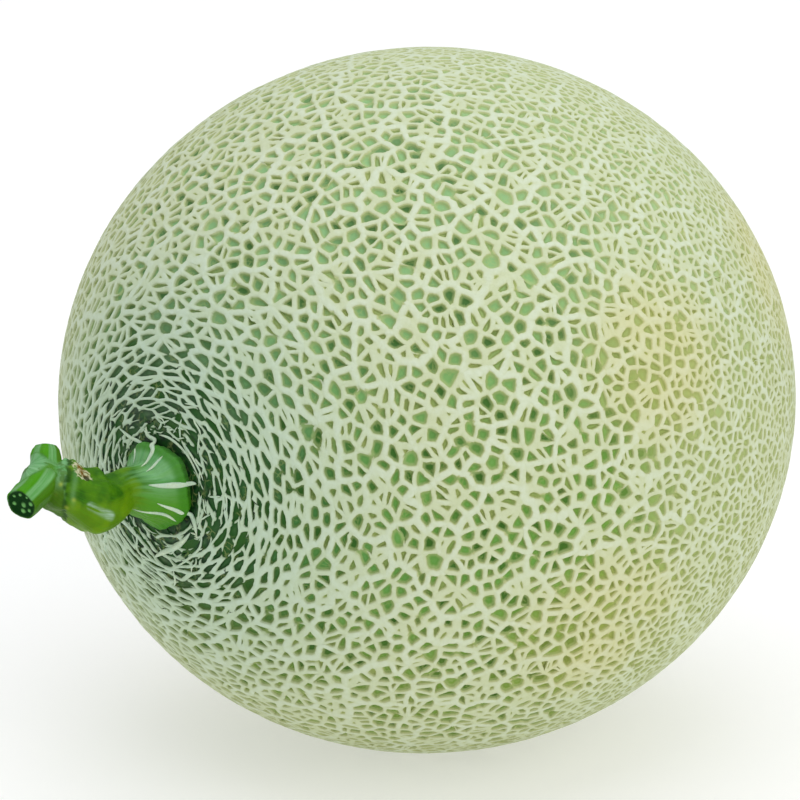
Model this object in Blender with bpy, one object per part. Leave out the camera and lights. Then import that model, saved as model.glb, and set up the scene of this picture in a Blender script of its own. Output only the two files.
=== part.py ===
"""Netted hami melon lying on its side, with the stem that it was picked by.

The fruit's axis lies along X, with the stem towards -X. The origin is on the surface that the
melon rests on, under the middle of its outline. Lengths are in metres.
"""

import math
import random

import bmesh
import bpy
import numpy as np
from mathutils import Vector

# The fruit, measured over the crests of its net.
HALF_LENGTH = 0.0795
HALF_WIDTH = 0.0779
HALF_HEIGHT = 0.0750
FLAT_SPOT_SINK = 0.00065  # how much of the underside the flat spot takes off
FLAT_SPOT_FADE = (0.012, 0.024)  # the net fades in between these distances from the spot's middle
STEM_SHIFT = 0.0010  # the stem stands this far off the axis, towards +Y
SEAT_RADIUS = 0.0118  # flat ground at the stem end, which the stem stands on
SEAT_RIM_RADIUS = 0.0200  # where the rind's sinking towards the stem starts
SEAT_DEPTH = 0.0008
SEAT_REACH = HALF_LENGTH * math.sqrt(1 - (SEAT_RADIUS / HALF_WIDTH) ** 2) - SEAT_DEPTH
SCAR_RADIUS = 0.0060  # blossom scar at the far end
SCAR_DEPTH = 0.0009

# The net: its cords stand out of the rind, drawn out into rings round the stem.
CELL_COUNT = 680
CELL_JITTER = 0.30  # share of the spacing that a cell's middle strays
CORD_HEIGHT = 0.0013
CORD_HALF_WIDTH = 0.0014
CORD_SHARE = 0.20  # a cord takes at most this share of a narrow cell
SHORTEST_EDGE = 0.0016
RING_DRAW = 0.62  # how strongly cells are drawn out round the stem
RING_REACH = 0.20  # tangent of half the angle over which that wears off
NET_SEED = 11
GOLDEN_ANGLE = math.pi * (3 - math.sqrt(5))

# The stem, from its foot to the piece of vine that was cut with it. Points are from the
# fruit's middle.
STEM_GAP = 0.0003
STEM_LINE = (
    (-SEAT_REACH - STEM_GAP, STEM_SHIFT, 0.0000),
    (-0.0826, STEM_SHIFT, 0.0000),
    (-0.0877, 0.0017, 0.0008),
    (-0.0940, 0.0021, 0.0002),
    (-0.1004, 0.0044, 0.0032),
    (-0.1043, 0.0070, 0.0062),
)
# Distance along the stem and radius there: foot, thin rim, trumpet, neck, swelling, joint.
STEM_RADII = (
    (0.0000, 0.0090),
    (0.0005, 0.0099),
    (0.0012, 0.0102),
    (0.0018, 0.0096),
    (0.0027, 0.0083),
    (0.0040, 0.0070),
    (0.0060, 0.0058),
    (0.0083, 0.0050),
    (0.0108, 0.0048),
    (0.0134, 0.0053),
    (0.0157, 0.0062),
    (0.0180, 0.0066),
    (0.0204, 0.0062),
    (0.0226, 0.0055),
    (0.0244, 0.0051),
    (0.0262, 0.0053),
    (0.0282, 0.0047),
    (0.0302, 0.0034),
)
STEM_SIDES = 60
STEM_RIBS = 5
STEM_RIB_SHARE = 0.07
STREAK_ANGLES = (8, 48, 80, 99, 162, 204, 235, 283, 326)  # corky streaks on the foot, from +Y
STREAK_HEIGHT = 0.0007
STREAK_HALF_WIDTH = 0.0008
STREAK_SPAN = (0.0010, 0.0072)  # distances along the stem between which the streaks run

# The vine: a short piece, cut through on both sides of the stem.
VINE_LINE = (
    (-0.1009, 0.0106, 0.0117),
    (-0.1018, 0.0098, 0.0100),
    (-0.1042, 0.0078, 0.0073),
    (-0.1084, 0.0060, 0.0053),
    (-0.1136, 0.0046, 0.0038),
)
VINE_RADII = ((0.0, 0.0029), (0.25, 0.0032), (0.5, 0.0041), (0.75, 0.0034), (1.0, 0.0034))
VINE_STATIONS = 11
VINE_SIDES = 30
VINE_RIBS = 5
VINE_RIB_SHARE = 0.09
CUT_DISH_INSET = 0.0007
CUT_DISH_DEPTH = 0.0004

NET_COLOUR = (0.66, 0.67, 0.49, 1)
RIND_COLOUR = (0.13, 0.27, 0.09, 1)
STEM_COLOUR = (0.15, 0.29, 0.05, 1)
CUT_COLOUR = (0.02, 0.09, 0.02, 1)


def clear_scene():
    """Remove every object that the file opened with."""
    for obj in list(bpy.data.objects):
        bpy.data.objects.remove(obj)


def material(name, colour, roughness):
    """A plain Principled material."""
    made = bpy.data.materials.new(name)
    made.use_nodes = True
    shader = made.node_tree.nodes["Principled BSDF"]
    shader.inputs["Base Color"].default_value = colour
    shader.inputs["Roughness"].default_value = roughness
    shader.inputs["Metallic"].default_value = 0.0
    return made


def smooth_step(value, low, high):
    """0 below low, 1 above high, and an even curve between them."""
    share = min(1.0, max(0.0, (value - low) / (high - low)))
    return share * share * (3 - 2 * share)


def ringed(polar):
    """The fruit's angle from the stem for an angle on an even ball of cells."""
    tangent = np.tan(np.asarray(polar) / 2)
    drawn = tangent ** (1 - RING_DRAW) * (tangent**2 + RING_REACH**2) ** (RING_DRAW / 2)
    return 2 * np.arctan(drawn)


def fruit_point(polar, around):
    """A point on the fruit's outside, from the fruit's middle."""
    reach = HALF_LENGTH * math.cos(polar)
    across = HALF_WIDTH * math.sin(polar) * math.cos(around)
    height = HALF_HEIGHT * math.sin(polar) * math.sin(around)
    if reach > 0:
        off_stem = math.hypot(across - STEM_SHIFT, height)
        reach -= SEAT_DEPTH * (1 - smooth_step(off_stem, SEAT_RADIUS, SEAT_RIM_RADIUS))
        reach = min(reach, SEAT_REACH)
    else:
        reach += SCAR_DEPTH * math.exp(-((math.hypot(across, height) / SCAR_RADIUS) ** 2))
    return Vector((-reach, across, height))


def cell_middles(count, jitter, seed):
    """Middles of the net's cells on an even ball, strayed from a spiral by a seeded draw."""
    draw = random.Random(seed)
    grid = np.linspace(1e-4, math.pi - 1e-4, 4000)
    real = ringed(grid)
    covered = np.cumsum(np.sin(real) * np.gradient(real))
    share = covered / covered[-1]
    polars = np.interp((np.arange(count) + 0.5) / count, share, grid)
    spacings = np.sqrt(2 * math.pi * np.sin(polars) * np.gradient(polars))
    middles = []
    for i in range(count):
        around = i * GOLDEN_ANGLE
        side = math.sin(polars[i])
        middle = Vector((math.cos(polars[i]), side * math.cos(around), side * math.sin(around)))
        stray = Vector([draw.gauss(0, 1) for _ in range(3)]).normalized()
        middle += stray * (spacings[i] * jitter * draw.uniform(0.4, 1.6))
        middles.append(middle.normalized())
    return middles


def cell_mesh(middles):
    """The fruit's outside as one polygon for each cell: corners where three cells meet."""
    ball = bmesh.new()
    for middle in middles:
        ball.verts.new(middle)
    bmesh.ops.convex_hull(ball, input=ball.verts)
    ball.normal_update()
    ball.faces.index_update()

    cells = bmesh.new()
    corners = []
    for face in ball.faces:
        normal = face.normal if face.normal.dot(face.calc_center_median()) > 0 else -face.normal
        polar = float(ringed(math.acos(max(-1.0, min(1.0, normal.x)))))
        corners.append(cells.verts.new(fruit_point(polar, math.atan2(normal.z, normal.y))))
    for vert in ball.verts:
        out = vert.co.normalized()
        first = out.orthogonal().normalized()
        second = out.cross(first)
        ring = []
        for face in vert.link_faces:
            offset = face.calc_center_median() - vert.co
            ring.append((math.atan2(offset.dot(second), offset.dot(first)), face.index))
        cells.faces.new([corners[index] for _, index in sorted(ring)])
    ball.free()
    bmesh.ops.dissolve_degenerate(cells, dist=SHORTEST_EDGE, edges=cells.edges)
    bmesh.ops.recalc_face_normals(cells, faces=cells.faces)
    return cells


def raise_net(cells):
    """Sink the middle of each cell, so that cords stand between them."""
    lowest = Vector((0, 0, -HALF_HEIGHT))
    for face in list(cells.faces):
        middle = face.calc_center_median()
        on_seat = middle.x < 0 and math.hypot(middle.y - STEM_SHIFT, middle.z) < SEAT_RADIUS
        on_scar = middle.x > 0 and math.hypot(middle.y, middle.z) < SCAR_RADIUS
        depth = CORD_HEIGHT * smooth_step((middle - lowest).length, *FLAT_SPOT_FADE)
        if on_seat:
            face.material_index = 1
        if on_seat or on_scar or depth < CORD_HEIGHT / 4:
            continue
        narrow = 2 * face.calc_area() / max(edge.calc_length() for edge in face.edges)
        thickness = min(CORD_HALF_WIDTH, CORD_SHARE * narrow)
        bmesh.ops.inset_individual(cells, faces=[face], thickness=thickness, depth=-depth)
        face.material_index = 1


def make_melon():
    """The fruit: rind, raised net, seat for the stem and the flat spot it lies on."""
    cells = cell_mesh(cell_middles(CELL_COUNT, CELL_JITTER, NET_SEED))
    raise_net(cells)
    spot = Vector((0, 0, FLAT_SPOT_SINK - HALF_HEIGHT))
    everything = cells.verts[:] + cells.edges[:] + cells.faces[:]
    cut = bmesh.ops.bisect_plane(
        cells, geom=everything, plane_co=spot, plane_no=(0, 0, -1), clear_outer=True
    )
    rim = [item for item in cut["geom_cut"] if isinstance(item, bmesh.types.BMEdge)]
    bmesh.ops.contextual_create(cells, geom=rim)
    bmesh.ops.recalc_face_normals(cells, faces=cells.faces)
    return mesh_object(
        "melon",
        cells,
        material("net", NET_COLOUR, 0.75),
        material("rind", RIND_COLOUR, 0.45),
    )


def mesh_object(name, shape, *materials):
    """An object in the scene from a bmesh, which is then freed."""
    mesh = bpy.data.meshes.new(name)
    shape.to_mesh(mesh)
    shape.free()
    for made in materials:
        mesh.materials.append(made)
    obj = bpy.data.objects.new(name, mesh)
    bpy.context.scene.collection.objects.link(obj)
    return obj


def curve_through(points, share):
    """A point on a smooth curve through the points, at a share of the way along it."""
    spans = len(points) - 1
    place = min(spans - 1e-9, max(0.0, share * spans))
    index = int(place)
    t = place - index
    near = [Vector(points[min(spans, max(0, index + k))]) for k in (-1, 0, 1, 2)]
    a, b, c, d = near
    return 0.5 * (
        2 * b + (c - a) * t + (2 * a - 5 * b + 4 * c - d) * t**2 + (3 * b - a - 3 * c + d) * t**3
    )


def line_stations(points, distances, samples=400):
    """Places and directions at these distances along the curve through the points."""
    fine = [curve_through(points, i / samples) for i in range(samples + 1)]
    travelled = np.cumsum([0.0] + [(q - p).length for p, q in zip(fine, fine[1:])])
    stations = []
    for distance in distances:
        index = int(np.searchsorted(travelled, min(distance, travelled[-1] - 1e-9), "right"))
        index = max(1, min(samples, index))
        share = (distance - travelled[index - 1]) / (travelled[index] - travelled[index - 1])
        place = fine[index - 1].lerp(fine[index], share)
        stations.append((place, (fine[index] - fine[index - 1]).normalized()))
    return stations


def loft(name, stations, radius_at, sides, *materials):
    """A closed tube through the stations; radius_at gives its radius by station and angle."""
    tube = bmesh.new()
    across = stations[0][1].cross(Vector((0, 1, 0))).cross(stations[0][1]).normalized()
    rings = []
    for number, (place, along) in enumerate(stations):
        across = (across - along * across.dot(along)).normalized()
        upright = across.cross(along)
        ring = []
        for k in range(sides):
            angle = 2 * math.pi * k / sides
            out = across * math.cos(angle) + upright * math.sin(angle)
            ring.append(tube.verts.new(place + out * radius_at(number, angle)))
        rings.append(ring)
    for lower, upper in zip(rings, rings[1:]):
        for k in range(sides):
            after = (k + 1) % sides
            tube.faces.new((lower[k], lower[after], upper[after], upper[k]))
    tube.faces.new(rings[0])
    tube.faces.new(rings[-1])
    bmesh.ops.recalc_face_normals(tube, faces=tube.faces)
    return mesh_object(name, tube, *materials)


def stem_radius(number, angle):
    """The stem's radius, with its ribs and, on the foot, the corky streaks."""
    distance, radius = STEM_RADII[number]
    foot = 1 - smooth_step(distance, 0.0030, 0.0085)
    radius *= 1 + STEM_RIB_SHARE * (1 - foot) * math.cos(STEM_RIBS * angle)
    start, end = STREAK_SPAN
    window = smooth_step(distance, start, start + 0.001)
    window *= 1 - smooth_step(distance, end - 0.003, end)
    for degrees in STREAK_ANGLES:
        apart = abs((angle - math.radians(degrees) + math.pi) % (2 * math.pi) - math.pi)
        radius += STREAK_HEIGHT * window * math.exp(-((apart * radius / STREAK_HALF_WIDTH) ** 2))
    return radius


def vine_radius(number, angle):
    """The vine's radius, with its ribs."""
    share = number / (VINE_STATIONS - 1)
    shares, radii = zip(*VINE_RADII)
    radius = float(np.interp(share, shares, radii))
    return radius * (1 + VINE_RIB_SHARE * math.cos(VINE_RIBS * angle))


def dish_cut_ends(vine):
    """Sink both cut ends of the vine a little inside a thin wall."""
    shape = bmesh.new()
    shape.from_mesh(vine.data)
    for end in [face for face in shape.faces if len(face.verts) > 4]:
        bmesh.ops.inset_individual(
            shape, faces=[end], thickness=CUT_DISH_INSET, depth=-CUT_DISH_DEPTH
        )
        end.material_index = 1
    shape.to_mesh(vine.data)
    shape.free()


def make_stem():
    """The stem with its flared foot, joined to the cut piece of vine."""
    green = material("stem", STEM_COLOUR, 0.5)
    cut = material("cut_vine", CUT_COLOUR, 0.7)
    stem = loft(
        "stem",
        line_stations(STEM_LINE, [distance for distance, _ in STEM_RADII]),
        stem_radius,
        STEM_SIDES,
        green,
        cut,
    )
    fine = [curve_through(VINE_LINE, i / 100) for i in range(101)]
    length = sum((q - p).length for p, q in zip(fine, fine[1:]))
    distances = [length * i / (VINE_STATIONS - 1) for i in range(VINE_STATIONS)]
    vine = loft(
        "vine_piece", line_stations(VINE_LINE, distances), vine_radius, VINE_SIDES, green, cut
    )
    dish_cut_ends(vine)
    vine.hide_render = True
    vine.display_type = "WIRE"
    union = stem.modifiers.new("join_vine", "BOOLEAN")
    union.operation = "UNION"
    union.object = vine
    vine.parent = stem
    return stem


def place_on_surface(melon, stem):
    """Stand the flat spot on the ground, with the whole outline centred over the origin."""
    bpy.context.view_layer.update()
    graph = bpy.context.evaluated_depsgraph_get()
    corners = []
    for obj in (melon, stem):
        shape = obj.evaluated_get(graph).to_mesh()
        corners += [vert.co.copy() for vert in shape.vertices]
    low = Vector([min(corner[i] for corner in corners) for i in range(3)])
    high = Vector([max(corner[i] for corner in corners) for i in range(3)])
    middle = (low + high) / 2
    for obj in (melon, stem):
        obj.location = (-middle.x, -middle.y, -low.z)


def main():
    """Build the melon."""
    clear_scene()
    melon = make_melon()
    stem = make_stem()
    for obj in (melon, stem):
        obj.data.polygons.foreach_set("use_smooth", [False] * len(obj.data.polygons))
    place_on_surface(melon, stem)


main()
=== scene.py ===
"""Looks of a netted hami melon on its side: rind with a raised net, stem, floor, light and camera.

Everything is in metres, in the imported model's own frame. The fruit's axis lies along X, with the
stem towards -X.
"""

import logging
import math
import random
from dataclasses import dataclass, field
from enum import Enum
from functools import cached_property
from typing import Dict, List, Sequence, Tuple, Union

import bmesh
import bpy
import numpy as np
from mathutils import Matrix, Vector, noise
from mathutils.bvhtree import BVHTree
from mathutils.geometry import delaunay_2d_cdt


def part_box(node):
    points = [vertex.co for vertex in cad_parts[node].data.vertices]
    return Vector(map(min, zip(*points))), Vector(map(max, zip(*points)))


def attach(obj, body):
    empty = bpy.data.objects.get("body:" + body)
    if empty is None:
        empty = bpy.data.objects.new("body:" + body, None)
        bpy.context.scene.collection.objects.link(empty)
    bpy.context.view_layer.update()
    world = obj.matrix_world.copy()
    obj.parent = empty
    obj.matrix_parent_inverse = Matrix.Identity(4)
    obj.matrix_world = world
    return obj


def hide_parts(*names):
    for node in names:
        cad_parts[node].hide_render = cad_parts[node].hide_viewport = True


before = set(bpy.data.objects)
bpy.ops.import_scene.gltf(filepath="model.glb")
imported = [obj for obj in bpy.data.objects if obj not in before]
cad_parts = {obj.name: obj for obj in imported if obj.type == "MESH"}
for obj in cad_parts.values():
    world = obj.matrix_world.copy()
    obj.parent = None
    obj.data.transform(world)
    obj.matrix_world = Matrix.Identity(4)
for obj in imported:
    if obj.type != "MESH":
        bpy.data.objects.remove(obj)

LOG = logging.getLogger("melon")
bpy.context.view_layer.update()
MM = 0.001

Colour = Tuple[float, float, float]
Point = Tuple[float, float, float]
Socket = bpy.types.NodeSocket
Feed = Union[Socket, float, Sequence[float]]


def paint(red: float, green: float, blue: float) -> Colour:
    """A colour as the shader wants it.

    Args:
        red, green, blue: parts of the colour as a screen shows it, 0 to 255.
    Returns:
        The same colour in linear light, 0 to 1.
    """
    parts = [part / 255 for part in (red, green, blue)]
    return tuple(p / 12.92 if p < 0.04045 else ((p + 0.055) / 1.055) ** 2.4 for p in parts)


def ease(value: np.ndarray, low: float, high: float) -> np.ndarray:
    """0 below low, 1 above high, and an even curve between them.

    Args:
        value: the numbers.
        low, high: where the curve starts and ends.
    Returns:
        Shares from 0 to 1.
    """
    share = np.clip((np.asarray(value, float) - low) / (high - low), 0, 1)
    return share * share * (3 - 2 * share)


def unit(vectors: np.ndarray) -> np.ndarray:
    """The vectors at length 1."""
    return vectors / np.maximum(np.linalg.norm(vectors, axis=-1, keepdims=True), 1e-12)


# Form of the fruit


FAR_HALF = (math.radians(68), math.radians(106))  # angles from the stem
SPARE_CELLS = 64  # more than the spare cells at both ends of the chart


@dataclass(frozen=True)
class FruitForm:
    """The fruit's outside over the crests of its net, from the fruit's middle."""

    half_length: float = 79.5 * MM
    half_width: float = 77.9 * MM
    half_height: float = 75.0 * MM
    flat_spot_sink: float = 0.65 * MM
    stem_shift: float = 1.0 * MM
    seat_radius: float = 11.8 * MM
    seat_rim_radius: float = 20.0 * MM
    seat_depth: float = 0.8 * MM
    scar_radius: float = 6.0 * MM
    scar_depth: float = 0.9 * MM

    @property
    def halves(self) -> np.ndarray:
        """Half the length, width and height, with the stem's side counted as positive X."""
        return np.array([-self.half_length, self.half_width, self.half_height])

    @property
    def seat_reach(self) -> float:
        """How far the ground under the stem lies from the fruit's middle."""
        rim = math.sqrt(1 - (self.seat_radius / self.half_width) ** 2)
        return self.half_length * rim - self.seat_depth

    @cached_property
    def middle(self) -> np.ndarray:
        """The fruit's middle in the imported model's frame."""
        low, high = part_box("melon")
        height = low[2] + self.half_height - self.flat_spot_sink
        return np.array([low[0] + self.seat_reach, (low[1] + high[1]) / 2, height])

    def surface(self, ways: np.ndarray) -> np.ndarray:
        """Points of the outside.

        Args:
            ways: unit vectors on the ball that is stretched to the fruit, stem at +X.
        Returns:
            Points from the fruit's middle.
        """
        points = ways * np.abs(self.halves)
        off_stem = np.hypot(points[:, 1] - self.stem_shift, points[:, 2])
        off_axis = np.hypot(points[:, 1], points[:, 2])
        seated = points[:, 0] - self.seat_depth * (
            1 - ease(off_stem, self.seat_radius, self.seat_rim_radius)
        )
        scarred = points[:, 0] + self.scar_depth * np.exp(-((off_axis / self.scar_radius) ** 2))
        reach = np.where(points[:, 0] > 0, np.minimum(seated, self.seat_reach), scarred)
        return np.column_stack([-reach, points[:, 1], points[:, 2]])

    def outward(self, ways: np.ndarray) -> np.ndarray:
        """Unit vectors straight out of the surface at those ways."""
        return unit(ways / self.halves)

    def off_stem(self, ways: np.ndarray) -> np.ndarray:
        """Distance from the stem's axis, counted on round the fruit past its widest ring.

        Args:
            ways: ways on the fruit.
        Returns:
            The distances.
        """
        points = ways * np.abs(self.halves)
        ring = np.hypot(points[:, 1] - self.stem_shift, points[:, 2])
        return np.where(points[:, 0] > 0, ring, 2 * self.half_width - ring)

    def off_scar(self, ways: np.ndarray) -> np.ndarray:
        """Distance from the blossom scar's middle, at the far end.

        Args:
            ways: ways on the fruit.
        Returns:
            The distances.
        """
        points = ways * np.abs(self.halves)
        ring = np.hypot(points[:, 1], points[:, 2])
        return np.where(points[:, 0] < 0, ring, 2 * self.half_width - ring)


@dataclass(frozen=True)
class RingDraw:
    """How cells are drawn out into rings round the stem."""

    strength: float
    reach: float = 0.20

    def real(self, polar: np.ndarray) -> np.ndarray:
        """The fruit's angle from the stem for an angle on an even ball of cells."""
        tangent = np.tan(polar / 2)
        near = (tangent**2 + self.reach**2) ** (self.strength / 2)
        return 2 * np.arctan(tangent ** (1 - self.strength) * near)

    def even(self, polar: np.ndarray) -> np.ndarray:
        """The other way round: the even ball's angle for an angle on the fruit."""
        grid = np.geomspace(1e-7, math.pi - 1e-4, 6000)
        return np.interp(polar, self.real(grid), grid)


@dataclass(frozen=True)
class CellSpread:
    """Middles of cells, strayed from an even spiral by a seeded draw."""

    count: int
    jitter: float
    seed: int
    draw: RingDraw
    nearest: float = 0.0004
    furthest: float = math.pi - 0.0004
    crowding: float = 0.0

    def middles(self) -> np.ndarray:
        """Unit vectors on the even ball, with the stem at +X."""
        chance = random.Random(self.seed)
        golden = math.pi * (3 - math.sqrt(5))
        real = np.linspace(self.nearest, self.furthest, 8000)
        grid = self.draw.even(real)
        covered = np.cumsum(np.sin(real) * (1 + self.crowding * ease(real, *FAR_HALF)))
        polars = np.interp((np.arange(self.count) + 0.5) / self.count, covered / covered[-1], grid)
        spacings = np.sqrt(2 * math.pi * np.sin(polars) * np.gradient(polars))
        around = np.arange(self.count) * golden
        ways = ball_ways(polars, around)
        for way, spacing in zip(ways, spacings):
            stray = unit(np.array([chance.gauss(0, 1) for _ in range(3)]))
            way += stray * (spacing * self.jitter * chance.uniform(0.4, 1.6))
        return unit(ways)


def ball_ways(polar: np.ndarray, around: np.ndarray) -> np.ndarray:
    """Unit vectors for angles from the stem and angles around.

    Args:
        polar: angles from the stem.
        around: angles round its axis.
    Returns:
        The vectors.
    """
    side = np.sin(polar)
    return np.column_stack([np.cos(polar), side * np.cos(around), side * np.sin(around)])


def ball_angles(ways: np.ndarray) -> Tuple[np.ndarray, np.ndarray]:
    """Angles from the stem and angles around for unit vectors.

    Args:
        ways: the vectors.
    Returns:
        The two kinds of angle.
    """
    polar = np.arctan2(np.hypot(ways[:, 1], ways[:, 2]), ways[:, 0])
    return polar, np.arctan2(ways[:, 2], ways[:, 1])


def fruit_ways(even: np.ndarray, draw: RingDraw) -> np.ndarray:
    """Ways on the fruit for unit vectors on the even ball.

    Args:
        even: the vectors.
        draw: how cells are drawn out round the stem.
    Returns:
        The ways.
    """
    polar, around = ball_angles(even)
    return ball_ways(draw.real(polar), around)


def even_ways(real: np.ndarray, draw: RingDraw) -> np.ndarray:
    """Unit vectors on the even ball for ways on the fruit.

    Args:
        real: the ways.
        draw: how cells are drawn out round the stem.
    Returns:
        The vectors.
    """
    polar, around = ball_angles(real)
    return ball_ways(draw.even(polar), around)


class CellMap:
    """Which cells meet, and at which corners.

    The ball is unrolled as on a sea chart, where small shapes keep their form, and each corner is
    the point at the same distance from the middles of three cells. A ring of spare cells closes
    each end of the chart.
    """

    margin = 0.9

    def __init__(self, middles: np.ndarray, spare_near: int = 14, spare_far: int = 9) -> None:
        """Work out the corners and each cell's ring of them.

        Args:
            middles: the cells' middles as unit vectors on the even ball.
            spare_near: how many spare cells close the chart round the stem.
            spare_far: how many close it round the far end.
        """
        polar, around = ball_angles(middles)
        height = np.log(np.tan(polar / 2))
        self.count = len(middles)
        ends = []
        for spares, edge, step in (
            (spare_near, height.min(), -0.8),
            (spare_far, height.max(), 0.8),
        ):
            turn = (np.arange(spares) + 0.5) / spares * 2 * math.pi - math.pi
            ends.append(np.column_stack([np.full(spares, edge + step * 6.2832 / spares), turn]))
        chart = np.vstack([np.column_stack([height, around])] + ends)
        triangles, heights, turns = self._corner_triangles(chart)
        self.corners = ball_ways(2 * np.arctan(np.exp(heights)), turns)
        self.rings = self._ring_up(triangles)

    def _corner_triangles(self, chart: np.ndarray) -> Tuple[np.ndarray, np.ndarray, np.ndarray]:
        """Triangles of cells that meet, with the chart's height and turn of each meeting point.

        Args:
            chart: height and turn of each cell's middle.
        Returns:
            Three cells a triangle, the heights and the turns.
        """
        ids = np.arange(len(chart))
        left = chart[:, 1] > math.pi - self.margin
        right = chart[:, 1] < self.margin - math.pi
        spread = np.vstack([chart, chart[left] - [0, 2 * math.pi], chart[right] + [0, 2 * math.pi]])
        owner = np.concatenate([ids, ids[left], ids[right]])
        made = delaunay_2d_cdt([Vector(point) for point in spread], [], [], 0, 1e-7)
        source = np.array([given[0] for given in made[3]])
        triangles = source[np.array([list(face) for face in made[2]])]
        turned = spread[triangles]
        middle_turn = turned[:, :, 1].mean(axis=1)
        kept = (middle_turn >= -math.pi) & (middle_turn < math.pi)
        triangles, turned = triangles[kept], turned[kept]
        a, b, c = turned[:, 0], turned[:, 1], turned[:, 2]
        ab, ac = b - a, c - a
        double = 2 * (ab[:, 0] * ac[:, 1] - ab[:, 1] * ac[:, 0])
        flip = double < 0
        square_b, square_c = (ab**2).sum(axis=1), (ac**2).sum(axis=1)
        height = a[:, 0] + (ac[:, 1] * square_b - ab[:, 1] * square_c) / double
        turn = a[:, 1] + (ab[:, 0] * square_c - ac[:, 0] * square_b) / double
        triangles = owner[triangles]
        triangles[flip] = triangles[flip][:, [0, 2, 1]]
        return triangles, height, turn

    def _ring_up(self, triangles: np.ndarray) -> List[List[Tuple[int, int]]]:
        """For each cell, its corners in order, each with the neighbour across the next side.

        Args:
            triangles: three cells each, all turning the same way.
        Returns:
            A ring of corners and neighbours for each cell.
        """
        ahead: Dict[Tuple[int, int], Tuple[int, int]] = {}
        start: Dict[int, int] = {}
        for number, (a, b, c) in enumerate(triangles.tolist()):
            ahead[a, b] = (number, c)
            ahead[b, c] = (number, a)
            ahead[c, a] = (number, b)
            start[a], start[b], start[c] = b, c, a
        rings = []
        for cell in range(self.count):
            ring = []
            other = start[cell]
            while True:
                corner, following = ahead[cell, other]
                ring.append((corner, following))
                other = following
                if other == start[cell]:
                    break
            rings.append(ring)
        return rings


# The net


@dataclass(frozen=True)
class CordSizes:
    """Sizes of the net's cords and of the holes between them."""

    thread_half_width: float = 0.53 * MM
    stout_half_width: Tuple[float, float] = (0.60 * MM, 0.88 * MM)
    spread: float = 0.22
    thread_height: Tuple[float, float] = (0.82, 0.93)
    stout_height: Tuple[float, float] = (0.93, 1.0)
    slit_share: float = 0.22
    slit_gain: Tuple[float, float] = (1.25, 1.75)
    hole_gain: Tuple[float, float] = (0.80, 1.00)
    relief: float = 0.80 * MM
    relief_at_stem: float = 0.40 * MM
    relief_far: float = 0.56 * MM
    width_far: float = 0.82
    bare_zone: Tuple[float, float] = (10.4 * MM, 11.2 * MM)
    stem_zone: Tuple[float, float] = (12.0 * MM, 40.0 * MM)
    width_at_stem: float = 0.35
    missing: float = 0.07
    missing_at_stem: float = 0.80
    missing_zone: Tuple[float, float] = (12.5 * MM, 27.0 * MM)
    missing_length: float = 1.5 * MM
    stub: float = 0.55
    wobble: float = 0.075
    corner_rounding: float = 7.0
    shoulder: float = 0.20
    foot: float = 0.90
    closed_gap: Tuple[float, float] = (0.06 * MM, 0.34 * MM)
    open_gap: Tuple[float, float] = (0.15 * MM, 1.05 * MM)
    closed_floor: float = 0.55
    brow: float = 0.95
    brow_cord: float = 0.8
    dome: float = 0.10
    lost_width: float = -0.10 * MM
    lost_height: float = 0.03
    lost_below: float = 0.12
    end_level: float = 0.8
    bead_steps: Tuple[float, ...] = (0.55 * MM, 2.3 * MM, 4.2 * MM, 6.5 * MM)
    ripple: float = 0.10
    stout_lost_within: float = 16.0 * MM
    relief_zone: Tuple[float, float] = (10.0 * MM, 30.0 * MM)
    foot_zone: Tuple[float, float] = (9.4 * MM, 10.8 * MM)
    scar_zone: Tuple[float, float] = (3.0 * MM, 6.5 * MM)
    lowest: float = 0.02 * MM
    short_side: float = 0.02 * MM
    middle_steps: int = 8
    middle_reach: float = 0.25 * MM
    middle_step: float = 0.11 * MM
    least_gap: float = 0.06 * MM
    hole_ripple: float = 0.05
    hole_most: float = 0.93
    cord_lean: float = 2.5  # how much more the cords' own faces count in the normals


@dataclass
class Skin:
    """The netted rind as one mesh in numbers, before it is cut into pieces."""

    places: np.ndarray
    faces: List[Tuple[int, ...]]
    face_cells: np.ndarray
    cord: np.ndarray
    stout: np.ndarray
    shade: np.ndarray
    opening: np.ndarray
    inner: np.ndarray


class SkinDraft:
    """The rind's points and faces while they are laid out."""

    def __init__(self) -> None:
        """Start with nothing."""
        self.places: List[np.ndarray] = []
        self.values: List[List[np.ndarray]] = []
        self.faces: List[Tuple[int, ...]] = []
        self.face_cells: List[int] = []
        self.total = 0

    def add(self, places: np.ndarray, *values: Union[float, np.ndarray]) -> None:
        """Add points.

        Args:
            places: the points.
            values: height, cord, shade, opening and inner, one number each or one a point.
        """
        self.places.append(places)
        self.values.append([np.broadcast_to(value, len(places)) for value in values])
        self.total += len(places)

    def fill(self, loop: Sequence[int], cell: int) -> None:
        """Fill a loop of points with two bands and a fan, whose points are added next.

        Args:
            loop: the loop's points.
            cell: the cell that the faces belong to.
        """
        count = len(loop)
        high, low, tip = self.total, self.total + count, self.total + 2 * count
        for k in range(count):
            after = (k + 1) % count
            self.faces.append((loop[k], loop[after], high + after, high + k))
            self.faces.append((high + k, high + after, low + after, low + k))
            self.faces.append((low + k, low + after, tip))
        self.face_cells.extend([cell] * (3 * count))


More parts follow.
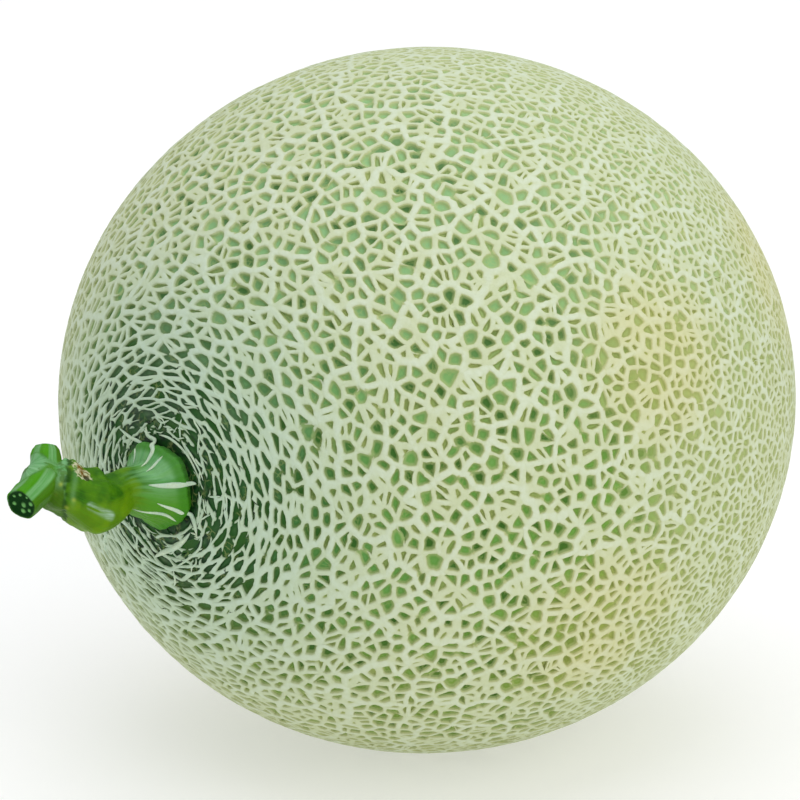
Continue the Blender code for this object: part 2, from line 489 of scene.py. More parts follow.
@dataclass
class NettedRind:
    """The rind with its net: cords stand round thousands of small holes with green floors."""

    form: FruitForm
    sizes: CordSizes = CordSizes()
    fine: CellSpread = CellSpread(12200, 0.56, 5, RingDraw(0.737), 0.125, math.pi - 0.045, 0.90)
    groups: CellSpread = CellSpread(680, 0.30, 11, RingDraw(0.62))
    chance_seed: int = 23
    piece_count: int = 5
    pieces: List[bpy.types.Object] = field(default_factory=list)

    def build(self, material: bpy.types.Material) -> None:
        """Make the rind's pieces.

        Args:
            material: the rind's material.
        """
        skin = self._weave()
        normals = self._vertex_normals(skin)
        centres = np.array([skin.places[list(face)].mean(axis=0) for face in skin.faces])
        around = np.arctan2(centres[:, 2], centres[:, 1])
        cell_count = int(skin.face_cells.max()) + 1
        cell_around = np.zeros(cell_count)
        cell_around[skin.face_cells] = around
        order = np.argsort(np.argsort(cell_around))
        part = (order * self.piece_count // cell_count)[skin.face_cells]
        for number in range(self.piece_count):
            piece = self._piece(skin, normals, part == number, f"rind_{number + 1}")
            piece.data.materials.append(material)
            self.pieces.append(piece)

    def _weave(self) -> Skin:
        """Lay out every cord and hole."""
        sizes = self.sizes
        chance = np.random.default_rng(self.chance_seed)
        middles = self.fine.middles()
        cells = CellMap(middles)
        corner_ways = fruit_ways(cells.corners, self.fine.draw)
        stretch = np.abs(self.form.halves)
        corners = corner_ways * stretch
        group_of = self._groups(middles)

        sides = self._sides(cells.rings)
        ends = np.array([sides[pair] for pair in sides])
        pairs = np.array(list(sides))
        number_of = {pair: number for number, pair in enumerate(sides)}
        mid_ways = unit((corner_ways[ends[:, 0]] + corner_ways[ends[:, 1]]) / 2)
        off_stem = self.form.off_stem(mid_ways)
        lengths = np.linalg.norm(corners[ends[:, 0]] - corners[ends[:, 1]], axis=1)
        width, height = self._cords(pairs, group_of, off_stem, mid_ways, lengths, chance)

        extra_places: List[np.ndarray] = []
        extra_height: List[float] = []
        beads: List[List[int]] = []
        for number, (first, last) in enumerate(ends):
            count = int(np.searchsorted(sizes.bead_steps, lengths[number]))
            made: List[int] = []
            along = corners[last] - corners[first]
            sideways = unit(np.cross(along, corners[first] / stretch**2))
            for k in range(count):
                share = (k + 1) / (count + 1)
                bend = sizes.wobble * lengths[number] * float(np.clip(chance.normal(), -1.6, 1.6))
                made.append(len(corners) + len(extra_places))
                extra_places.append(corners[first] + along * share + sideways * bend)
                stub = width[number] < 0 and count > 1 and k == 0
                extra_height.append(sizes.stub if stub else height[number])
            beads.append(made)

        corner_height = np.zeros(len(corners))
        corner_count = np.zeros(len(corners))
        for number, (first, last) in enumerate(ends):
            if width[number] > 0:
                for corner in (first, last):
                    corner_height[corner] += height[number]
                    corner_count[corner] += 1
        corner_height /= np.maximum(corner_count, 1)
        ring_places = np.vstack([corners, np.array(extra_places)])
        ring_heights = np.concatenate([corner_height, np.array(extra_height)])
        draft = SkinDraft()
        draft.add(ring_places, ring_heights, ring_heights > sizes.lost_below, 0.5, 0.5, 0.0)
        shade_of = chance.random(len(cells.rings))
        gains = chance.uniform(*sizes.hole_gain, len(cells.rings))
        slits = chance.random(len(cells.rings)) < sizes.slit_share
        gains[slits] = chance.uniform(*sizes.slit_gain, int(slits.sum()))
        for cell, ring in enumerate(cells.rings):
            ids: List[int] = []
            side_numbers: List[int] = []
            for k, (corner, neighbour) in enumerate(ring):
                number = number_of[min(cell, neighbour), max(cell, neighbour)]
                ids.append(corner)
                side_numbers.append(number)
                run = beads[number]
                ids.extend(run if ends[number][0] == corner else reversed(run))
            ring_corners = corners[[corner for corner, _ in ring]]
            outline = ring_places[ids]
            hole = self._hole(ring_corners, outline, width[side_numbers] * gains[cell], chance)
            shoulder, foot, centre, gap = hole
            count = len(ids)
            crest = ring_heights[ids]
            closed = 1 - float(ease(gap, *sizes.closed_gap))
            floor = sizes.closed_floor * closed * float(crest.mean())
            brow = np.maximum(crest * sizes.brow, floor)
            level = np.concatenate([brow, np.full(count, floor), [floor + sizes.dome]])
            raised = (crest > sizes.lost_below) * sizes.brow_cord
            draft.fill(ids, cell)
            draft.add(
                np.vstack([shoulder, foot, centre[None]]),
                level,
                np.concatenate([raised, np.zeros(count + 1)]),
                shade_of[cell],
                float(ease(gap, *sizes.open_gap)),
                np.concatenate([np.zeros(2 * count), np.ones(1)]),
            )

        for loop in self._open_loops(cells, ends, beads, number_of):
            rim = ring_places[loop]
            centre = rim.mean(axis=0)
            inward = [rim + (centre - rim) * share for share in (0.33, 0.66)]
            draft.fill(loop, cells.count - 1)
            corky = float(centre[0] < 0)
            draft.add(np.vstack(inward + [centre[None]]), sizes.end_level, corky, 0.5, 1.0, 0.0)

        flat = np.vstack(draft.places)
        level, cord, shade, opening, inner = (np.concatenate(v) for v in zip(*draft.values))
        bare = ease(self.form.off_stem(unit(flat / stretch)), *sizes.bare_zone)
        cells_of = np.array(draft.face_cells)
        return Skin(
            self._lay(flat, level), draft.faces, cells_of, cord * bare, level, shade, opening, inner
        )

    def _groups(self, middles: np.ndarray) -> np.ndarray:
        """The large cell that each fine cell belongs to, with spare cells in one of their own.

        Args:
            middles: the fine cells' middles on the even ball.
        Returns:
            The number of the large cell for each.
        """
        real = fruit_ways(middles, self.fine.draw)
        near = even_ways(real, self.groups.draw) @ self.groups.middles().T
        spare = np.full(SPARE_CELLS, self.groups.count)
        return np.concatenate([near.argmax(axis=1), spare])

    @staticmethod
    def _open_loops(
        cells: CellMap,
        ends: np.ndarray,
        beads: List[List[int]],
        number_of: Dict[Tuple[int, int], int],
    ) -> List[List[int]]:
        """The two loops of points at which the cells stop, round the stem and at the far end.

        Args:
            cells: the fine cells.
            ends: the two corners of each side.
            beads: the points between them.
            number_of: a side's number by its two cells.
        Returns:
            The points of each loop, in order.
        """
        onward: Dict[int, List[int]] = {}
        for cell, ring in enumerate(cells.rings):
            for k, (corner, neighbour) in enumerate(ring):
                if neighbour >= cells.count:
                    number = number_of[cell, neighbour]
                    following = ring[(k + 1) % len(ring)][0]
                    run = beads[number]
                    back = list(reversed(run)) if ends[number][0] == corner else list(run)
                    onward[following] = back + [corner]
        loops = []
        while onward:
            start = next(iter(onward))
            loop: List[int] = []
            place = start
            while place in onward:
                run = onward.pop(place)
                loop.append(place)
                loop.extend(run[:-1])
                place = run[-1]
            loops.append(loop)
        return loops

    @staticmethod
    def _sides(rings: List[List[Tuple[int, int]]]) -> Dict[Tuple[int, int], Tuple[int, int]]:
        """The two corners of each side, by the pair of cells that share it.

        Args:
            rings: each cell's corners and neighbours.
        Returns:
            The sides.
        """
        sides: Dict[Tuple[int, int], Tuple[int, int]] = {}
        for cell, ring in enumerate(rings):
            for k, (corner, neighbour) in enumerate(ring):
                if cell < neighbour:
                    sides[cell, neighbour] = (corner, ring[(k + 1) % len(ring)][0])
        return sides

    def _cords(
        self,
        pairs: np.ndarray,
        group_of: np.ndarray,
        off_stem: np.ndarray,
        ways: np.ndarray,
        lengths: np.ndarray,
        chance: np.random.Generator,
    ) -> Tuple[np.ndarray, np.ndarray]:
        """Half width and height of the cord on each side, with a width below 0 where it is missing.

        Args:
            pairs: the two cells that each side parts.
            group_of: the large cell of each fine cell.
            off_stem: each side's distance from the stem's axis.
            ways: each side's middle on the fruit.
            lengths: each side's length.
            chance: the seeded draw.
        Returns:
            Half widths in metres and heights as shares of the relief.
        """
        sizes = self.sizes
        count = len(pairs)
        parted = group_of[pairs[:, 0]] != group_of[pairs[:, 1]]
        joined = np.sort(group_of[pairs], axis=1)
        _, same = np.unique(joined, axis=0, return_inverse=True)
        strength = chance.random(same.max() + 1)[same.ravel()] ** 0.8
        thread = sizes.thread_half_width * np.exp(sizes.spread * chance.normal(size=count))
        low, high = sizes.stout_half_width
        stout = low + (high - low) * strength
        width = np.where(parted, stout, thread)
        ripple = np.sin(ways @ np.array([37.0, 11.0, -23.0])) * np.sin(
            ways @ np.array([-9.0, 31.0, 17.0]) + 1.0
        )
        width *= 1 + sizes.ripple * ripple
        zone = ease(off_stem, *sizes.stem_zone)
        width *= sizes.width_at_stem + (1 - sizes.width_at_stem) * zone
        width *= 1 - (1 - sizes.width_far) * ease(np.arccos(ways[:, 0]), *FAR_HALF)
        low, high = sizes.thread_height
        thread_height = low + (high - low) * chance.random(count)
        low, high = sizes.stout_height
        height = np.where(parted, low + (high - low) * strength, thread_height)
        lost = sizes.missing + (sizes.missing_at_stem - sizes.missing) * (
            1 - ease(off_stem, *sizes.missing_zone)
        )
        missing = (chance.random(count) < lost) & (~parted | (off_stem < sizes.stout_lost_within))
        missing &= lengths > sizes.missing_length
        return (
            np.where(missing, sizes.lost_width, width), np.where(missing, sizes.lost_height, height)
        )

    def _hole(
        self,
        corners: np.ndarray,
        outline: np.ndarray,
        widths: np.ndarray,
        chance: np.random.Generator,
    ) -> Tuple[np.ndarray, np.ndarray, np.ndarray, float]:
        """The hole inside one cell, rounded and clear of its cords.

        Args:
            corners: the cell's corners.
            outline: the corners with the cords' beads between them.
            widths: the cord's half width on each side.
            chance: the seeded draw.
        Returns:
            The cords' shoulders, the walls' feet, the floor's middle and the smallest gap.
        """
        sizes = self.sizes
        centre = corners.mean(axis=0)
        out = unit(centre / self.form.halves**2)
        first = unit(np.cross(out, np.array([0.31, 0.83, 0.46])))
        second = np.cross(out, first)
        board = np.column_stack([first, second])
        flat = (corners - centre) @ board
        along = np.roll(flat, -1, axis=0) - flat
        lengths = np.hypot(along[:, 0], along[:, 1])
        whole = lengths > sizes.short_side
        away = np.column_stack([along[:, 1], -along[:, 0]])[whole] / lengths[whole, None]
        reach = np.einsum("ij,ij->i", away, flat[whole]) - widths[whole]
        middle = np.zeros(2)
        for _ in range(sizes.middle_steps):
            gaps = reach - away @ middle
            pull = np.exp(-gaps / sizes.middle_reach)
            middle = middle - sizes.middle_step * (pull @ away) / pull.sum()
        gaps = reach - away @ middle
        spokes = (outline - centre) @ board - middle
        spans = np.hypot(spokes[:, 0], spokes[:, 1])
        ways = spokes / spans[:, None]
        towards = np.maximum(ways @ away.T, 0) / np.maximum(gaps, sizes.least_gap)
        power = sizes.corner_rounding
        round_off = (towards**power).sum(axis=1) ** (-1 / power)
        round_off *= 1 + sizes.hole_ripple * np.clip(chance.normal(size=len(spans)), -1.5, 1.5)
        opened = np.minimum(round_off, spans * sizes.hole_most)
        brim = opened + sizes.shoulder * (spans - opened)

        def raise_up(lengths_out: np.ndarray) -> np.ndarray:
            """Points at these distances along the spokes, back in the round."""
            return centre + (middle + ways * lengths_out[:, None]) @ board.T

        return (
            raise_up(brim),
            raise_up(opened * sizes.foot),
            centre + middle @ board.T,
            float(gaps.min()),
        )

    def _lay(self, places: np.ndarray, level: np.ndarray) -> np.ndarray:
        """Put the net on the fruit: level 1 is on its outside, 0 at the floors of the holes.

        Args:
            places: points on the smooth fruit.
            level: their levels.
        Returns:
            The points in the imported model's frame.
        """
        sizes = self.sizes
        ways = unit(places / np.abs(self.form.halves))
        off_stem = self.form.off_stem(ways)
        near = ease(off_stem, *sizes.relief_zone)
        relief = sizes.relief_at_stem + (sizes.relief - sizes.relief_at_stem) * near
        far = ease(np.arccos(np.clip(ways[:, 0], -1, 1)), *FAR_HALF)
        relief += (sizes.relief_far - sizes.relief) * far
        level = level * ease(off_stem, *sizes.foot_zone)
        scarred = 1 - ease(self.form.off_scar(ways), *sizes.scar_zone)
        level = level + (sizes.end_level - level) * scarred
        placed = self.form.surface(ways)
        placed -= self.form.outward(ways) * (relief * (1 - level))[:, None]
        placed += self.form.middle
        placed[:, 2] = np.maximum(placed[:, 2], sizes.lowest)
        return placed

    def _vertex_normals(self, skin: Skin) -> np.ndarray:
        """Smooth normals of the whole rind, so that no seam shows between its pieces.

        Args:
            skin: the whole rind.
        Returns:
            A unit vector for each point.
        """
        normals = np.zeros_like(skin.places)
        four = np.array([face for face in skin.faces if len(face) == 4])
        three = np.array([face for face in skin.faces if len(face) == 3])
        raised = skin.cord > 0.5
        for faces in (four, three):
            a = skin.places[faces[:, 0]]
            b = skin.places[faces[:, 1]]
            c = skin.places[faces[:, 2]]
            d = skin.places[faces[:, -1]]
            leaning = np.cross(c - a, d - b) if faces.shape[1] == 4 else np.cross(b - a, c - a)
            leaning[raised[faces].all(axis=1)] *= self.sizes.cord_lean
            for k in range(faces.shape[1]):
                np.add.at(normals, faces[:, k], leaning)
        return unit(normals)

    @staticmethod
    def _piece(
        skin: Skin, normals: np.ndarray, chosen: np.ndarray, name: str
    ) -> bpy.types.Object:
        """One piece of the rind as an object.

        Args:
            skin: the whole rind.
            normals: its normals.
            chosen: which faces the piece has.
            name: the piece's name.
        Returns:
            The object.
        """
        faces = [skin.faces[k] for k in np.flatnonzero(chosen)]
        used = np.unique(np.concatenate([np.array(face) for face in faces]))
        fresh = np.full(len(skin.places), -1)
        fresh[used] = np.arange(len(used))
        mesh = bpy.data.meshes.new(name)
        mesh.from_pydata(
            skin.places[used].tolist(), [], [tuple(fresh[list(face)].tolist()) for face in faces]
        )
        mesh.update()
        mesh.shade_smooth()
        net = mesh.attributes.new("net", "FLOAT_COLOR", "POINT")
        parts = (skin.cord, skin.stout, skin.shade, skin.opening)
        net.data.foreach_set("color", np.column_stack(parts)[used].astype(np.float32).ravel())
        inner = mesh.attributes.new("inner", "FLOAT", "POINT")
        inner.data.foreach_set("value", skin.inner[used].astype(np.float32))
        mesh.normals_split_custom_set_from_vertices(normals[used].tolist())
        piece = bpy.data.objects.new(name, mesh)
        bpy.context.scene.collection.objects.link(piece)
        return piece


# The stem


def curve_through(points: Sequence[Point], samples: int) -> np.ndarray:
    """Even samples of a smooth curve through the points.

    Args:
        points: the curve's points.
        samples: how many samples to take on each span.
    Returns:
        The samples, from the first point to the last.
    """
    given = np.array(points, float)
    padded = np.vstack([given[:1], given, given[-1:]])
    share = np.linspace(0, 1, samples, endpoint=False)[:, None]
    spans = []
    for a, b, c, d in zip(padded, padded[1:], padded[2:], padded[3:]):
        bend = (2 * a - 5 * b + 4 * c - d) * share**2 + (3 * b - a - 3 * c + d) * share**3
        spans.append(0.5 * (2 * b + (c - a) * share + bend))
    return np.vstack(spans + [given[-1:]])


@dataclass
class Limb:
    """A grown limb: a line with a radius along it, and places on it by distance and angle."""

    line: np.ndarray
    radii: Sequence[Tuple[float, float]]
    ribs: int
    rib_share: float

    def __post_init__(self) -> None:
        """Work out the distances along the line and the directions at each sample."""
        steps = np.linalg.norm(np.diff(self.line, axis=0), axis=1)
        self.travelled = np.concatenate([[0.0], np.cumsum(steps)])
        self.length = float(self.travelled[-1])
        self.along = unit(np.gradient(self.line, axis=0))
        across = unit(np.cross(np.cross(self.along[0], [0.0, 1.0, 0.0]), self.along[0]))
        ring = []
        for way in self.along:
            across = unit(across - way * (across @ way))
            ring.append(across)
        self.across = np.array(ring)
        self.upright = np.cross(self.across, self.along)

    def radius(self, distance: np.ndarray) -> np.ndarray:
        """The radius at a distance along the line, without its ribs."""
        return np.interp(distance, *zip(*self.radii))

    def tube(self, name: str) -> bpy.types.Object:
        """The limb as a round tube with closed ends.

        Args:
            name: the object's name.
        Returns:
            A mesh object.
        """
        bpy.ops.curve.primitive_nurbs_path_add()
        made = bpy.context.object
        made.name = name
        curve = made.data
        curve.splines.clear()
        spline = curve.splines.new("POLY")
        spline.points.add(len(self.line) - 1)
        for point, place, distance in zip(spline.points, self.line, self.travelled):
            point.co = (*place, 1.0)
            point.radius = float(self.radius(distance)) / MM
        curve.dimensions = "3D"
        curve.bevel_depth = MM
        curve.bevel_resolution = 30
        curve.use_fill_caps = True
        bpy.ops.object.convert(target="MESH")
        return bpy.context.object

    def locate(self, points: np.ndarray) -> Tuple[np.ndarray, np.ndarray, np.ndarray, np.ndarray]:
        """Where points lie on the limb.

        Args:
            points: places near the limb.
        Returns:
            Distances along the line, angles around it, distances off it, and ways straight out.
        """
        nearest = np.concatenate(
            [
                np.linalg.norm(part[:, None] - self.line[None], axis=2).argmin(axis=1)
                for part in np.array_split(points, 40)
            ]
        )
        offset = points - self.line[nearest]
        ahead = np.einsum("ij,ij->i", offset, self.along[nearest])
        distance = np.clip(self.travelled[nearest] + ahead, 0, self.length)
        flat = offset - self.along[nearest] * ahead[:, None]
        sideways = np.einsum("ij,ij->i", flat, self.across[nearest])
        upwards = np.einsum("ij,ij->i", flat, self.upright[nearest])
        return distance, np.arctan2(upwards, sideways), np.hypot(sideways, upwards), unit(flat)


@dataclass
class CutStem:
    """The stem with its flared foot, and the piece of vine that was cut with it.

    The tables hold millimetres, and places in them are from the fruit's middle.
    """

    form: FruitForm
    sunk: float = 0.9 * MM
    gap: float = 0.3 * MM
    voxel: float = 0.20 * MM
    root_radius: float = 8.3 * MM
    ribs: int = 5
    stem_rib_share: float = 0.07
    vine_rib_share: float = 0.09
    vine_rib_turn: float = math.radians(125)
    foot_zone: Tuple[float, float] = (3.0 * MM, 8.5 * MM)
    flare_zone: Tuple[float, float] = (3.0 * MM, 14.0 * MM)
    rim_zone: Tuple[float, float] = (5.4 * MM, 9.0 * MM)
    joint_zone: Tuple[float, float] = (19.0 * MM, 22.0 * MM)
    groove_width: float = 0.75 * MM
    groove_depth: float = 0.42 * MM
    # Width and place of a painted highlight beside the groove.
    groove_highlight_width: float = 0.55 * MM
    groove_highlight_offset: float = 1.5 * MM
    scar_radius: float = 2.6 * MM
    pit_radius: float = 1.0 * MM
    pale_streak_width: float = 0.95 * MM
    pale_streak_depth: float = 0.35 * MM
    fleck_radius: float = 0.42 * MM
    cut_depth: float = 0.45 * MM
    dish_depth: float = 0.55 * MM
    core_depth: float = 0.25 * MM
    bundle_rise: float = 0.20 * MM
    swelling_lit: Tuple[float, float] = (0.5 * MM, 4.5 * MM)
    joint_lit: Tuple[float, float] = (4.5 * MM, 9.5 * MM)
    rim_wave: float = 0.035
    rim_ripple: float = 0.015
    foot_cracks: float = 0.06 * MM
    rough_scale: float = 900.0
    scar_roughness: float = 0.30 * MM
    lump_scale: float = 320.0
    stem_lumps: float = 0.20 * MM
    vine_lumps: float = 0.16 * MM
    end_zone: Tuple[float, float] = (0.3 * MM, 3.5 * MM)
    dish_zone: Tuple[float, float] = (0.66, 0.90)  # shares of the cut's radius
    core_zone: Tuple[float, float] = (0.10, 0.34)
    skin_zone: Tuple[float, float] = (0.86, 0.98)
    lumps: Tuple[Tuple[Point, float, float], ...] = (
        ((-98.8, -2.2, -4.5), 1.1, 3.2),
        ((-100.0, 4.0, 9.5), 1.3, 3.2),
        ((-95.0, 1.5, 8.3), -0.8, 3.4),
        ((-94.5, -3.6, 3.6), -0.5, 3.0),
        ((-97.4, -4.4, -0.2), -0.5, 1.5),
        ((-101.5, 9.0, 12.2), -0.6, 1.0),
        ((-99.4, 2.4, 7.9), 0.6, 1.2),
        ((-98.6, 1.2, 7.5), 0.35, 0.6),
        ((-99.6, 0.6, 7.2), -0.5, 0.7),
        ((-98.2, 2.8, 7.8), -0.45, 0.6),
    )
    scar_place: Point = (-99.0, 2.3, 7.6)
    scar_pit_place: Point = (-99.4, 0.5, 6.7)
    pale_streak_ends: Tuple[Point, Point] = ((-100.3, -2.0, 1.6), (-96.2, -3.9, -1.3))
    groove_point: Point = (-99.9, 5.4, 9.1)
    groove_way: Point = (0.730, -0.678, -0.081)
    fleck_places: Tuple[Point, ...] = (
        (-104.9, 2.0, 6.5), (-104.4, 1.0, 1.5), (-105.6, 2.6, 4.6), (-103.4, -0.2, 3.2),
        (-104.6, 8.2, 2.0), (-102.6, 9.4, 5.6), (-103.8, 4.6, 0.4),
    )
    bundles: Tuple[Tuple[float, float, float], ...] = (  # share of the cut's radius, turn, size
        (0.60, 0.2, 0.55), (0.62, 1.1, 0.40), (0.55, 1.9, 0.45), (0.62, 2.7, 0.36),
        (0.58, 3.5, 0.62), (0.60, 4.4, 0.48), (0.56, 5.2, 0.66), (0.15, 4.9, 0.60),
    )
    stem_straight_end: float = -82.6
    stem_bend: Tuple[Point, ...] = (
        (-87.7, 1.6, 1.1), (-94.0, 2.1, 0.2), (-100.4, 4.4, 3.2), (-104.3, 7.0, 6.2),
    )
    stem_radii: Tuple[Tuple[float, float], ...] = (
        (0.0, 8.6), (0.5, 9.0), (1.2, 9.2), (1.8, 8.8), (2.7, 7.7), (4.0, 6.5), (6.0, 5.3),
        (8.3, 4.4), (10.8, 4.0), (13.4, 4.8), (15.7, 6.0), (18.0, 6.6), (20.4, 6.2),
        (22.6, 5.5), (24.4, 5.1), (26.2, 5.3), (28.2, 4.7), (30.2, 3.4),
    )
    vine_line: Tuple[Point, ...] = (
        (-100.9, 10.6, 11.7), (-101.8, 9.8, 10.0), (-104.2, 7.8, 7.3), (-108.4, 6.0, 5.3),
        (-113.6, 4.6, 3.8),
    )
    vine_radii: Tuple[Tuple[float, float], ...] = (  # by share of the length
        (0.0, 2.2), (0.05, 2.8), (0.12, 3.0), (0.25, 3.2), (0.5, 4.1), (0.75, 3.4), (1.0, 3.4),
    )

    def __post_init__(self) -> None:
        """Lay out the lines of the stem and of the vine."""
        foot, shift = -self.form.seat_reach, self.form.stem_shift
        straight = [(foot + self.sunk, shift, 0.0), (foot - self.gap, shift, 0.0)]
        straight.append((self.stem_straight_end * MM, shift, 0.0))
        line = curve_through(np.vstack([straight, np.array(self.stem_bend) * MM]), 24)
        self.start = self.sunk + self.gap
        radii = [(0.0, self.root_radius)]
        radii += [(self.start + run * MM, radius * MM) for run, radius in self.stem_radii]
        self.stem = Limb(line + self.form.middle, radii, self.ribs, self.stem_rib_share)
        line = curve_through(np.array(self.vine_line) * MM, 16) + self.form.middle
        length = float(np.linalg.norm(np.diff(line, axis=0), axis=1).sum())
        radii = [(share * length, radius * MM) for share, radius in self.vine_radii]
        self.vine = Limb(line, radii, self.ribs, self.vine_rib_share)

    def build(self, material: bpy.types.Material) -> bpy.types.Object:
        """Make the stem.

        Args:
            material: the stem's material.
        Returns:
            The stem as one mesh object.
        """
        bpy.ops.object.select_all(action="DESELECT")
        vine = self.vine.tube("vine_piece")
        body = self.stem.tube("stem_body")
        vine.select_set(True)
        bpy.ops.object.join()
        body.data.remesh_voxel_size = self.voxel
        body.data.remesh_voxel_adaptivity = 0.0
        bpy.ops.object.voxel_remesh()
        soften = body.modifiers.new("soften", "SMOOTH")
        soften.factor = 0.5
        soften.iterations = 4
        bpy.ops.object.modifier_apply(modifier=soften.name)
        self._sculpt(body)
        body.data.shade_smooth()
        body.data.materials.clear()
        body.data.materials.append(material)
        return body

    def _spot(self, points: np.ndarray, place: Point, radius: float) -> np.ndarray:
        """1 at a place given in millimetres from the fruit's middle, fading out at a radius.

        Args:
            points: the stem's points.
            place: the spot's middle.
            radius: where it has faded to about a third.
        Returns:
            A share for each point.
        """
        apart = np.linalg.norm(points - self.form.middle - np.array(place) * MM, axis=1)
        return np.exp(-((apart / radius) ** 2))

    def _sculpt(self, body: bpy.types.Object) -> None:
        """Move the points into ribs, lobes, groove and dished cuts, and keep masks of them.

        Args:
            body: the stem as remeshed.
        """
        mesh = body.data
        points = np.empty(len(mesh.vertices) * 3)
        mesh.vertices.foreach_get("co", points)
        points = points.reshape(-1, 3)
        distance, angle, off, out = self.stem.locate(points)
        vine_distance, vine_angle, vine_off, vine_out = self.vine.locate(points)
        radius = self.stem.radius(distance)
        vine_radius = self.vine.radius(vine_distance)
        stem_share, vine_share = off / radius, vine_off / vine_radius
        on_vine = ease(stem_share - vine_share, -0.15, 0.15)
        start = points

        run = distance - self.start
        foot = 1 - ease(run, *self.foot_zone)
        wave = np.cos(self.stem.ribs * angle)
        move = radius * self.stem.rib_share * (1 - foot) * wave * np.minimum(stem_share, 1)
        rim = foot * ease(off, *self.rim_zone)
        waves = self.rim_wave * np.cos(5 * angle + 0.9) + self.rim_ripple * np.cos(11 * angle)
        move += radius * rim * waves
        move += self.foot_cracks * foot * np.cos(31 * angle) * ease(off, 4 * MM, 7 * MM)
        groove_off = (start - self.form.middle - np.array(self.groove_point) * MM) @ (
            np.array(self.groove_way)
        )
        at_joint = ease(run, *self.joint_zone)
        groove = np.exp(-((groove_off / self.groove_width) ** 2)) * at_joint
        ragged = np.array([noise.noise(Vector(point * self.rough_scale)) for point in start])
        groove *= np.clip(0.75 + 1.1 * ragged, 0, 1)
        move -= self.groove_depth * groove
        for place, rise, reach in self.lumps:
            move += rise * MM * self._spot(start, place, reach * MM)
        scar = self._spot(start, self.scar_place, self.scar_radius)
        pit = self._spot(start, self.scar_pit_place, self.pit_radius)
        move += self.scar_roughness * scar * ragged
        # A pale streaky patch on the swelling, sunk as a shallow groove.
        first, last = (np.array(end) * MM + self.form.middle for end in self.pale_streak_ends)
        reach = np.clip((start - first) @ (last - first) / ((last - first) @ (last - first)), 0, 1)
        pale_streak_off = np.linalg.norm(start - first - reach[:, None] * (last - first), axis=1)
        pale_streak = np.exp(-((pale_streak_off / self.pale_streak_width) ** 2))
        move -= self.pale_streak_depth * pale_streak
        lumpy = np.array([noise.noise(Vector(point * self.lump_scale)) for point in start])
        move += self.stem_lumps * lumpy * (1 - 0.6 * foot)
        vine_turn = vine_angle - self.vine_rib_turn
        vine_wave = np.cos(self.vine.ribs * vine_turn)
        from_end = np.minimum(vine_distance, self.vine.length - vine_distance)
        ribbed = 0.35 + 0.65 * ease(from_end, *self.end_zone)
        sharp = ribbed * (vine_wave * self.vine.rib_share + np.cos(10 * vine_turn) * 0.02)
        vine_move = vine_radius * sharp * np.minimum(vine_share, 1)
        vine_move = vine_move + self.vine_lumps * lumpy
        beyond = ease(-groove_off, -0.2 * MM, 0.6 * MM) * at_joint
        # A pale stripe beside the joint's groove, kept on the lit side: a painted highlight.
        off_groove_highlight = groove_off - self.groove_highlight_offset
        groove_highlight = np.exp(-((off_groove_highlight / self.groove_highlight_width) ** 2)) * at_joint
        points = points + out * (move * (1 - on_vine))[:, None]
        points = points + vine_out * (vine_move * on_vine)[:, None]

        cut = np.zeros(len(points))
        dots = np.zeros(len(points))
        for end, inwards in ((0, 1.0), (-1, -1.0)):
            place = self.vine.line[end]
            way = self.vine.along[end] * inwards
            depth = (start - place) @ way
            brim = float(self.vine.radius(self.vine.travelled[end]))
            near = np.linalg.norm(start - place, axis=1) < brim * 1.25
            face = near & (depth < self.cut_depth)
            inside = np.clip(vine_off / brim, 0, 1.2)
            dish = face * (1 - ease(inside, *self.dish_zone))
            core = face * (1 - ease(inside, *self.core_zone))
            for share, turn, size in self.bundles:
                across = vine_off * np.cos(vine_angle) - brim * share * math.cos(turn)
                upright = vine_off * np.sin(vine_angle) - brim * share * math.sin(turn)
                apart = np.hypot(across, upright)
                spot = face * (1 - ease(apart, 0.45 * size * MM, size * MM))
                dots = np.maximum(dots, spot)
            sunk = dish * self.dish_depth + core * self.core_depth
            sunk -= dots * face * self.bundle_rise
            points += way * sunk[:, None]
            cut = np.maximum(cut, face * (1 - ease(inside, *self.skin_zone)))
        flecks = np.zeros(len(points))
        for place in self.fleck_places:
            flecks = np.maximum(flecks, self._spot(start, place, self.fleck_radius))
        mesh.vertices.foreach_set("co", points.ravel())
        mesh.update()

        ridge = np.where(on_vine > 0.5, vine_wave, wave * (1 - foot) * 0.6)
        flare = 1 - ease(run, *self.flare_zone)
        shape = (np.clip(ridge * 0.5 + 0.5, 0, 1), flare, groove * (1 - on_vine), on_vine)
        marks = (cut, dots, scar, pale_streak)
        # The last mask is 1 on the foot's upper side, where it is painted paler as sky reflection.
        spots = (flecks, rim, pit, 0.5 + 0.5 * np.sin(angle))
        # The lit masks are 1 on upper sides. They paint upper sides paler as sky reflection and
        # lower sides olive as painted shade, and put the yellow lobe under the swelling.
        height = start[:, 2] - self.form.middle[2]
        lit = ease(height, *self.swelling_lit)
        lit = lit + (ease(height, *self.joint_lit) - lit) * beyond
        vine_lit = ease(np.cos(vine_angle - math.radians(100)), 0.05, 0.35)
        lit = lit + (vine_lit - lit) * on_vine
        zones = (beyond * (1 - on_vine), groove_highlight * lit, lit, 0.5 + lumpy * 0.5)
        named = {"shape": shape, "marks": marks, "spots": spots, "zones": zones}
        for name, parts in named.items():
            made = mesh.attributes.new(name, "FLOAT_COLOR", "POINT")
            made.data.foreach_set("color", np.column_stack(parts).astype(np.float32).ravel())
        turn = np.where(on_vine > 0.5, vine_angle, angle)
        travelled = np.where(on_vine > 0.5, vine_distance + 0.05, distance)
        fibre = np.column_stack([np.cos(turn) * 6 * MM, np.sin(turn) * 6 * MM, travelled * 0.14])
        made = mesh.attributes.new("fibre", "FLOAT_VECTOR", "POINT")
        made.data.foreach_set("vector", fibre.astype(np.float32).ravel())


@dataclass(frozen=True)
class Thread:
    """A corky thread round the stem: its width in millimetres, and its points.

    A point is an angle in degrees from +Y towards +Z about the stem's axis, and a distance from
    that axis in millimetres.
    """

    width: float
    route: Tuple[Tuple[float, float], ...]


